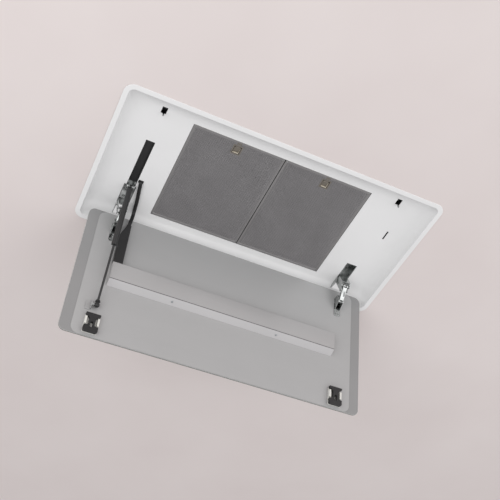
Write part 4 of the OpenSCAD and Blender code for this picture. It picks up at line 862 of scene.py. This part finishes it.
@dataclass
class FilterCassette:
    """One mesh filter: stepped frame, layered core, outer strands, cup and latch."""

    side: Side
    strands: StrandPattern
    fasteners: FastenerPattern
    size: Pair = (255.0, 312.0)
    offset: float = 128.5
    middle_y: float = -4.5
    # Inset and height of each loop
    steps: Sequence[Pair] = (
        (0, 38.9), (0, 30.5), (0.6, 29.9), (3.4, 29.9), (3.9, 30.5), (5.9, 30.5), (6.4, 31.1),
        (7.0, 31.1), (7.0, 38.9),
    )
    corner: Pair = (3.0, 1.2)
    opening: float = 514.0
    hook_shares: Pair = (0.1, 0.4)
    rivet_inset: float = 5.0
    rivet_z: float = 30.5
    mesh_margin: float = 7.5
    # Half the length, lowest Y and Z, and highest Y and Z of each box
    hook: Strip = (8.0, 151.0, 30.8, 155.5, 32.3)
    frame_slot: Strip = (6.3, -162.0, 30.5, -152.5, 32.6)
    cup_slot: Strip = (6.3, -148.0, 30.5, -143.0, 32.6)
    strand_hole: Strip = (10.5, -146.0, 29.0, -123.0, 33.0)
    lip: Strip = (7.6, -126.3, 30.0, -124.7, 31.2)
    pitch: float = 2.9
    strand_start: float = 0.5
    strand_z: float = 30.55
    wire: float = 0.55
    cup_steps: Sequence[Pair] = (
        (0.0, 30.7), (-3.2, 30.7), (-3.2, 30.2), (-0.4, 30.0), (-0.3, 30.0), (1.4, 30.9),
        (1.4, 35.6), (0.0, 35.6),
    )
    cup: Point = (20.0, 22.0, 1.4)
    cup_y: float = -134.5

    @property
    def x(self) -> float:
        """Returns the cassette's middle along X."""
        return self.offset * self.side.value

    def ring(self, name: str, size: Pair, middle_y: float, steps: Sequence[Pair],
             corner: Callable[[float], float], fine: int) -> Object:
        """Returns a closed frame through loops that lie inside one another.

        Args:
            name: the piece's name.
            size: the length and width at no inset.
            middle_y: the middle along Y.
            steps: inset and height of each loop.
            corner: gives the corner radius at an inset.
            fine: the steps around each corner.

        Returns:
            The new piece.
        """
        loops = []
        for inset, z in steps:
            length, width = size[0] - 2 * inset, size[1] - 2 * inset
            loop = rounded_loop(length, width, corner(inset), z, fine)
            loops.append([(x + self.x, y + middle_y, z) for x, y, z in loop])
        return new_object(name, lofted(name, loops, ring=True))

    def build(self) -> None:
        """Builds the cassette's pieces."""
        body = f"filter_{self.side.word}"
        self.build_frame(body)
        # The layers behind the strands get the darker mesh colour: painted shade.
        core = refined(f"filter_mesh_{self.side.word}", MESH_CORE, 0)
        core.name = f"mesh_core_{self.side.word}"
        self.build_strands(body)
        self.build_cup(body)
        self.build_latch()

    def build_latch(self) -> None:
        """Builds the latch with the lip that a finger pulls, painted pale as a highlight."""
        latch = refined(f"filter_latch_{self.side.word}", BRASS, 0.2)
        # Painted light: the walls keep the pale copy of the plating, and the flat faces get the
        # darker copy as painted shade.
        second_finish(latch, BRASS_DULL_SHADED, lambda face: abs(face.normal.z) > LEVEL)
        lip = box_mesh("latch_lip", [strip_box(self.x, self.lip)])
        grip = new_object(f"latch_lip_{self.side.word}", lip)
        soften(grip, 0.25, 2)
        # The lip gets the pale copy of the plating: a painted highlight.
        dress(grip, BRASS, f"latch_{self.side.word}")

    def build_frame(self, body: str) -> None:
        """Builds the stepped frame with its hooks and rivets."""
        large, least = self.corner
        made = self.ring(f"frame_{self.side.word}", self.size, self.middle_y, self.steps,
                         lambda inset: max(large - inset, least), 5)
        cut_boxes(made, [strip_box(self.x, self.frame_slot)])
        hooks = [strip_box(self.side.value * share * self.opening, self.hook)
                 for share in self.hook_shares]
        made.data = joined(made.name, [made.data, box_mesh("hooks", hooks)])
        soften(made, 0, 1)
        dress(made, FRAME_METAL, body, [f"filter_frame_{self.side.word}"])
        out_x, out_y = (edge / 2 - self.rivet_inset for edge in self.size)
        corners = [((self.x + sx * out_x, self.middle_y + sy * out_y, self.rivet_z), 180.0)
                   for sx in (-1, 1) for sy in (-1, 1)]
        Fasteners(f"frame_rivets_{self.side.word}", CHROME, body, button(1.5, 0.5),
                  corners).build(self.fasteners)

    def build_strands(self, body: str) -> None:
        """Builds the outer layer. The real mesh is finer; it is drawn coarser to stay light."""
        length, width = (edge - 2 * self.mesh_margin for edge in self.size)
        corner = (self.x - length / 2 + self.strand_start, self.middle_y - width / 2, self.strand_z)
        made = new_object(f"mesh_strands_{self.side.word}", bpy.data.meshes.new("strands"))
        self.strands.run(made, {
            "Corner": tuple(c * MM for c in corner), "Steps": int(length / self.pitch),
            "Rows": int(width / self.pitch), "Pitch": self.pitch * MM, "Wire": self.wire * MM,
            "Finish": MESH_WIRE.material()})
        low, high = strip_box(self.x, self.strand_hole)
        with editing(made.data) as form:
            inside = [v for v in form.verts
                      if all(low[k] < v.co[k] / MM < high[k] for k in range(3))]
            bmesh.ops.delete(form, geom=inside, context="VERTS")
            loose = [e for e in form.edges if e.is_boundary]
            bmesh.ops.holes_fill(form, edges=loose, sides=8)
        dress(made, MESH_WIRE, body)

    def build_cup(self, body: str) -> None:
        """Builds the flat rim of the latch cup and its walls, which lie in shade; the rim carries
        painted shade and the walls a deeper painted shade.
        """
        length, width, corner = self.cup
        made = self.ring(f"latch_cup_{self.side.word}", (length, width), self.cup_y, self.cup_steps,
                         lambda inset: corner, 4)
        cut_boxes(made, [strip_box(self.x, self.cup_slot)])
        soften(made, 0, 1)
        # The cup's rim gets the darker copy of the plating: painted shade.
        dress(made, BRASS_DULL_SHADED, body)
        middle, reach = (self.x, self.cup_y), (length / 2 + 0.2, width / 2 + 0.2)
        second_finish(made, BRASS_SHADE, lambda face: all(
            abs(face.center[k] / MM - middle[k]) < reach[k] for k in (0, 1)))


@dataclass
class Hinges:
    """The two linkage hinges, with their channels, links, feet, pins and screws."""

    fasteners: FastenerPattern
    plates: Sequence[Part] = (
        ("hinge_channels", CHROME, 0.35), ("hinge_channel_rivets", CHROME, 0.2),
        ("hinge_main_links", CHROME, 0.35), ("hinge_link_pins", CHROME, 0.2),
        ("hinge_wide_links", CHROME, 0.35), ("hinge_arms", CHROME, 0.4),
        ("hinge_arm_pins", CHROME, 0.2), ("hinge_guide_links", DARK_STEEL, 0.35),
        ("hinge_feet", CHROME, 0.4), ("hinge_foot_pins", CHROME, 0.2),
    )
    roof_screw: Pair = (153.0, 67.0)
    foot_screw_x: float = 21.0
    foot_screw_y: Pair = (95.57, 133.13)
    door_screws: Sequence[Pair] = ((0, 71), (-5, 80), (5, 80))
    door_screw_t: float = 2.5

    def build(self) -> None:
        """Builds the hinges' pieces."""
        refine_all(self.plates)
        channel, foot = [], []
        for side in Side:
            x = HINGE_X * side.value
            channel.append(((x, *self.roof_screw), 180.0))
            for across in (-self.foot_screw_x, self.foot_screw_x):
                for y in self.foot_screw_y:
                    channel.append(((x + across, y, FLOOR_TOP), 0.0))
            for dx, s in self.door_screws:
                foot.append((hung(x + dx, s, self.door_screw_t), OPEN_DEGREES))
        Fasteners("channel_screws", CHROME, "root", pan_head(3.6, 2.0, 1.5), channel,
                  ["hinge_channel_screws"]).build(self.fasteners)
        Fasteners("foot_screws", CHROME, "door", pan_head(2.6, 1.0, 1.4), foot,
                  ["hinge_foot_screws"]).build(self.fasteners)


@dataclass
class Strut:
    """The gas strut with its fork, socket, ball stud and door bracket."""

    parts: Sequence[Part] = (
        ("strut_fork", CHROME, 0.3, 2), ("strut_tube", STRUT_PAINT, 0.5, 3),
        ("strut_guide", PLASTIC, 0.2, 2), ("strut_rod", STRUT_PAINT, 0.2, 2),
        ("strut_socket", PLASTIC, 0.3, 2), ("strut_stud", CHROME, 0.2, 2),
        ("strut_bracket", BRACKET, 0.3, 2),
    )
    x: float = -336.7
    pin: Pair = (85.0, 25.0)
    ball: Pair = (290.0, 12.0)
    # Distance from the ball and radius of each ring
    clip: Sequence[Pair] = (
        (12.6, 3.4), (12.6, 5.7), (11.2, 5.9), (10.8, 4.8), (10.0, 4.8), (9.6, 6.4), (8.0, 6.8),
        (7.4, 5.0), (7.4, 3.8),
    )
    clip_sides: int = 24

    def build(self) -> None:
        """Builds the strut's pieces."""
        refine_all(self.parts)
        self.build_clip()

    def build_clip(self) -> None:
        """Builds the stepped spring clip around the socket's neck."""
        ball = Vector(hung(self.x, *self.ball))
        along = (ball - Vector((self.x, *self.pin))).normalized()
        side = Vector((1, 0, 0))
        up = along.cross(side)
        turns = [2 * pi * k / self.clip_sides for k in range(self.clip_sides)]
        ways = [side * cos(a) + up * sin(a) for a in turns]
        loops = [[tuple(ball - along * back + way * radius) for way in ways]
                 for back, radius in self.clip]
        made = new_object("socket_clip", lofted("clip", loops))
        soften(made, 0.15, 2)
        dress(made, PLASTIC, "strut_rod")


@dataclass
class Door:
    """The glass pane, back plate, lamp and cable cover."""

    fasteners: FastenerPattern
    size: Point = (828.0, 375.0, 4.0)
    radius: float = 18.0
    bevel: float = 0.7
    edge_steps: int = 9
    window: Area = (-309.0, 309.0, 172.5, 192.5)
    # Both ends from the pane's hinge edge, and the bottom
    gap: Point = (205.6, 207.4, 19.1)
    gap_box: Pair = (330.0, 25.0)
    lamp_top: float = 19.9
    lamp_screw: Point = (150.0, 214.0, 10.5)
    slope: Pair = (12.0, 19.0)
    slope_tilt: Pair = (0.15, 0.97)

    def build(self) -> None:
        """Builds the door's pieces."""
        self.build_pane()
        # The plate's long faint streaks are a painted reflection of window light.
        refined("door_plate", PLATE, 0.25)
        self.build_lamp()
        refine_all((("led_board", BOARD, 0.1), ("lamp_diffuser", OPAL, 0.3),
                    ("cable_cover", PLASTIC, 1.1, 3)))
        lean = OPEN_DEGREES + degrees(atan2(self.slope[1], self.slope[0]))
        x, s, t = self.lamp_screw
        places = [(hung(x * side.value, s, t), lean) for side in Side]
        Fasteners("lamp_cover_screws", ZINC, "door", pan_head(3.0, 1.2, 1.2), places,
                  ["lamp_screws"]).build(self.fasteners)

    def build_lamp(self) -> None:
        """Builds the lamp housing with the gap between its flat and its sloping face."""
        lamp = refined("lamp_housing", LAMP_PAINT, 0.9, 3)
        s0, s1, deep = self.gap
        half, high = self.gap_box
        cut_out(lamp, hang_mesh(box_mesh("groove", [((-half, -s1, deep), (half, -s0, high))])))
        origin = Vector(hung(0, 0, 0))
        along, out = Vector(hung(0, 1, 0)) - origin, Vector(hung(0, 0, 1)) - origin
        near = 0.1

        def in_gap(face: MeshPolygon) -> bool:
            """Returns whether a face lies in the gap."""
            place = face.center / MM - origin
            return (s0 - near < place.dot(along) < s1 + near
                    and deep - near < place.dot(out) < self.lamp_top)

        def on_slope(face: MeshPolygon) -> bool:
            """Returns whether a face belongs to the sloping side."""
            least, most = self.slope_tilt
            beyond = (face.center / MM - origin).dot(along) > s1
            return beyond and least < face.normal.dot(out) < most and not in_gap(face)

        second_finish(lamp, GAP_SHADE, in_gap)
        # The sloping side gets the lighter copy of the paint: painted light.
        second_finish(lamp, LAMP_SLOPE, on_slope)

    def build_pane(self) -> None:
        """Builds the pane with polished edges and a window free of enamel."""
        loops = []
        length, width, thick = self.size
        flat_edge = thick / 2 - self.bevel
        for k in range(self.edge_steps):
            a = pi * k / (self.edge_steps - 1)
            inset = self.bevel * (1 - sin(a))
            z = -thick / 2
            if 2 * k != self.edge_steps - 1:
                z -= copysign(flat_edge, cos(a)) + self.bevel * cos(a)
            loop = rounded_loop(length - 2 * inset, width - 2 * inset, self.radius - inset, z, 14)
            loops.append([(x, y - width / 2, z) for x, y, z in loop])
        mesh = lofted("pane", loops)
        x0, x1, s0, s1 = self.window
        with editing(mesh) as form:
            for place, normal in (((x0, 0, 0), (1, 0, 0)), ((x1, 0, 0), (1, 0, 0)),
                                  ((0, -s0, 0), (0, 1, 0)), ((0, -s1, 0), (0, 1, 0))):
                flat = [f for f in form.faces if abs(f.normal.z) > FLAT]
                edges = {e for f in flat for e in f.edges}
                verts = {v for f in flat for v in f.verts}
                bmesh.ops.bisect_plane(form, geom=[*flat, *edges, *verts],
                                       plane_co=Vector(place) * MM, plane_no=normal)
        finishes = (PANE, PANE_FRONT, PANE_EDGE, PANE_WINDOW, PANE_BEVEL)
        for finish in finishes:
            mesh.materials.append(finish.material())
        for face in mesh.polygons:
            x, s = face.center.x / MM, -face.center.y / MM
            level = abs(face.normal.z)
            if level < LEVEL:
                finish = PANE_EDGE if level < UPRIGHT else PANE_BEVEL
            elif x0 < x < x1 and s0 < s < s1:
                finish = PANE_WINDOW
            else:
                finish = PANE if face.normal.z > 0 else PANE_FRONT
            face.material_index = finishes.index(finish)
        made = new_object("pane", hang_mesh(mesh))
        soften(made, 0, 1, 60.0)
        dress(made, PANE, "door", ["door_glass"])


@dataclass
class LampLead:
    """The flat lead of the lamp, drawn in one shape from the grommet to the door."""

    width: float = 10.0
    thickness: float = 4.6
    waist: Pair = (0.3, 0.35)
    smooth: int = 5
    sides: int = 20
    grommet: Pair = (-316.5, 62.0)
    # Along the lead's middle, from the grommet and from the rim's lower face
    route: Sequence[Point] = (
        (-57.5, -35, 44), (-55.5, -28, 45), (-47.5, -17, 47), (-35.5, -8, 48), (-19.5, -2, 48),
        (-7.5, 0, 46), (-1, 0, 41), (0, 0, 34), (0, 0, 28.2), (0.3, 1.7, 25.6), (1, 5, 24.4),
        (2.7, 14.1, 24.4), (5, 26.4, 24.4), (7.5, 39.4, 24.4), (10.2, 54.1, 24.4),
        (12.6, 69.3, 24.4), (14.5, 84.3, 24.4), (16, 96.5, 22.6), (16.6, 103.4, 15),
        (15.6, 104.6, 4), (14, 104, -8), (12.6, 104, -18), (11.9, 107.5, -25.5),
        (11.75, 111, -32), (11.75, 113, -40), (11.75, 114.5, -47),
    )

    def path(self) -> list[Vector]:
        """Returns the smooth path through the route."""
        start = Vector((*self.grommet, 0.0))
        points = [start + Vector(p) for p in self.route]
        points = [points[0] * 2 - points[1], *points, points[-1] * 2 - points[-2]]
        line: list[Vector] = []
        for a, b, c, d in zip(points, points[1:], points[2:], points[3:]):
            for k in range(self.smooth):
                u = k / self.smooth
                line.append(0.5 * (
                    2 * b + (c - a) * u + (2 * a - 5 * b + 4 * c - d) * u**2
                    + (3 * b - a - 3 * c + d) * u**3))
        return [*line, points[-2]]

    def section(self) -> list[Pair]:
        """Returns the two-lobed section."""
        points = []
        for k in range(self.sides):
            a = 2 * pi * (k + 0.5) / self.sides
            waist = 1 - self.waist[0] * exp(-((cos(a) / self.waist[1]) ** 2))
            points.append((self.width / 2 * cos(a), self.thickness / 2 * sin(a) * waist))
        return points

    def build(self) -> None:
        """Builds the lead in place of its CAD node."""
        line, section = self.path(), self.section()
        loops: list[Loop] = []
        for i, middle in enumerate(line):
            ahead = (line[min(i + 1, len(line) - 1)] - line[max(i - 1, 0)]).normalized()
            v = Vector((1, 0, 0)).cross(ahead).normalized()
            u = ahead.cross(v)
            loops.append([tuple(middle - u * x + v * y) for x, y in section])
        made = new_object("lamp_lead_flat", lofted("lead", loops))
        soften(made, 0, 1, 60.0)
        made.data.materials.append(RUBBER.material())
        paint_node("lamp_lead", RUBBER)
        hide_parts("lamp_lead")
        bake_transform(made)
        log("lamp_lead_flat bends between root and door")


@dataclass
class Catches:
    """The two sprung catches at the door's free edge."""

    def build(self) -> None:
        """Builds the catches' pieces."""
        refined("catch_bases", WHITE_PLASTIC, 0.4)
        refine_all((f"catch_{side.word}", PLASTIC, 0.7, 3) for side in Side)


@dataclass
class UpperWorks:
    """Everything above the tray: housing, blower, outlet, boxes and gland."""

    parts: Sequence[Part] = (
        ("housing", ZINC, 0.3), ("stud_nuts", ZINC, 0.3), ("suspension_brackets", ZINC, 0.4),
        ("blower_scroll", ZINC, 0.25), ("inlet_rings", ZINC, 0.2), ("blower_mounts", RUBBER, 0.5),
        ("motor", MOTOR_PAINT, 1.2), ("motor_bracket", ZINC, 0.4), ("fan_wheel", WHEEL_STEEL, 0.0),
        ("fan_shaft", CHROME, 0.3), ("outlet_collar", ZINC, 0.25), ("flap_axle", CHROME, 0.2),
        ("flap_left", WHEEL_STEEL, 0.2), ("flap_right", WHEEL_STEEL, 0.2),
        ("control_box", WHITE_PLASTIC, 0.8), ("lamp_driver", WHITE_PLASTIC, 0.8),
        ("mains_gland", PLASTIC, 0.4),
    )

    def build(self) -> None:
        """Builds the pieces above the tray."""
        refine_all(self.parts)


@dataclass
class Studio:
    """The ceiling board, the light and the camera, none of them part of the object."""

    ceiling: tuple[str, str] = ("#ddd5d3", "#d2c8c6")
    board: float = 9000.0
    board_hole: Pair = (892.0, 432.0)
    board_z: float = 2.2
    sky: str = "#f0eff0"
    bright_side: Point = (0.78, -0.5, -0.38)
    levels: Pair = (0.60, 0.98)
    lights: Sequence[tuple[str, Point, Point, float, float]] = (
        ("key", (1.9, -1.8, -1.3), (0.1, 0.0, 0.0), 26.0, 2.8),
        ("fill", (-1.9, -1.2, -1.3), (0.1, 0.0, 0.0), 29.0, 2.4),
    )
    lens: float = 56.49
    sensor: float = 36.0
    place: Point = (-0.5856, -1.1614, -1.6520)
    # To the right, down and ahead
    axes: tuple[Point, Point, Point] = (
        (0.90540121, -0.42449762, -0.00710122),
        (0.31611882, 0.68521912, -0.65615824),
        (0.2834035, 0.59184164, 0.75458991),
    )

    def build(self) -> None:
        """Builds the studio."""
        self.build_world()
        self.build_ceiling()
        for name, place, aim, power, size in self.lights:
            lamp = bpy.data.lights.new(name, "AREA")
            lamp.energy, lamp.size = power, size
            holder = new_object(name, lamp)
            holder.location = place
            holder.rotation_mode = "QUATERNION"
            holder.rotation_quaternion = (Vector(aim) - Vector(place)).to_track_quat("-Z", "Y")
        self.build_camera()

    def build_world(self) -> None:
        """Builds pale surroundings that are lighter on one side, for the plating to reflect."""
        world = bpy.data.worlds.new("surroundings")
        bpy.context.scene.world = world
        tree = empty_tree(world)
        way = add(tree, "ShaderNodeTexCoord").outputs["Generated"]
        toward = add(tree, "ShaderNodeVectorMath", {0: way, 1: Vector(self.bright_side)},
                     operation="DOT_PRODUCT").outputs["Value"]
        level = add(tree, "ShaderNodeMapRange", {
            "Value": toward, "From Min": -1.0, "From Max": 1.0,
            "To Min": self.levels[0], "To Max": self.levels[1]}).outputs[0]
        sky = add(tree, "ShaderNodeBackground", {"Color": linear(self.sky), "Strength": level})
        add(tree, "ShaderNodeOutputWorld", {"Surface": sky.outputs[0]})
        bpy.context.scene.view_settings.view_transform = "Standard"

    def build_ceiling(self) -> None:
        """Builds the ceiling board around the rim. Seen from above it is left clear."""
        outer = rounded_loop(self.board, self.board, 1, self.board_z, 16)
        inner = rounded_loop(*self.board_hole, 24, self.board_z, 16)
        count = len(outer)
        faces = [[k, (k + 1) % count, count + (k + 1) % count, count + k] for k in range(count)]
        mesh = bpy.data.meshes.new("ceiling")
        mesh.from_pydata([tuple(c * MM for c in p) for p in outer + inner], [], faces)
        if mesh.polygons[0].normal.z > 0:
            mesh.flip_normals()
        made = new_object("ceiling", mesh)
        paint = bpy.data.materials.new("ceiling_paint")
        tree = empty_tree(paint)
        place = add(tree, "ShaderNodeTexCoord").outputs["Object"]
        cloud = add(tree, "ShaderNodeTexNoise", {
            "Vector": place, "Scale": 2.5, "Detail": 3.0}).outputs[0]
        colour = blend_colour(tree, cloud, *map(linear, self.ceiling))
        board = add(tree, "ShaderNodeBsdfPrincipled", {"Base Color": colour, "Roughness": 0.8})
        clear = add(tree, "ShaderNodeBsdfTransparent")
        back = add(tree, "ShaderNodeNewGeometry").outputs["Backfacing"]
        both = add(tree, "ShaderNodeMixShader", {0: back, 1: board.outputs[0], 2: clear.outputs[0]})
        add(tree, "ShaderNodeOutputMaterial", {"Surface": both.outputs[0]})
        mesh.materials.append(paint)

    def build_camera(self) -> None:
        """Builds the camera at the photo's viewing angle."""
        data = bpy.data.cameras.new("view")
        data.lens, data.sensor_width = self.lens, self.sensor
        data.clip_start, data.clip_end = 0.05, 50.0
        camera = new_object("view", data)
        right, down, ahead = (Vector(axis) for axis in self.axes)
        turn = Matrix((right, -down, -ahead)).transposed().to_4x4()
        camera.matrix_world = Matrix.Translation(self.place) @ turn
        bpy.context.scene.camera = camera


def main() -> None:
    """Builds every sub-assembly in order."""
    strands, fasteners = StrandPattern(), FastenerPattern()
    Tray().build()
    for side in Side:
        FilterCassette(side, strands, fasteners).build()
    Hinges(fasteners).build()
    Strut().build()
    Door(fasteners).build()
    LampLead().build()
    Catches().build()
    UpperWorks().build()
    Studio().build()


if __name__ == "__main__":
    main()
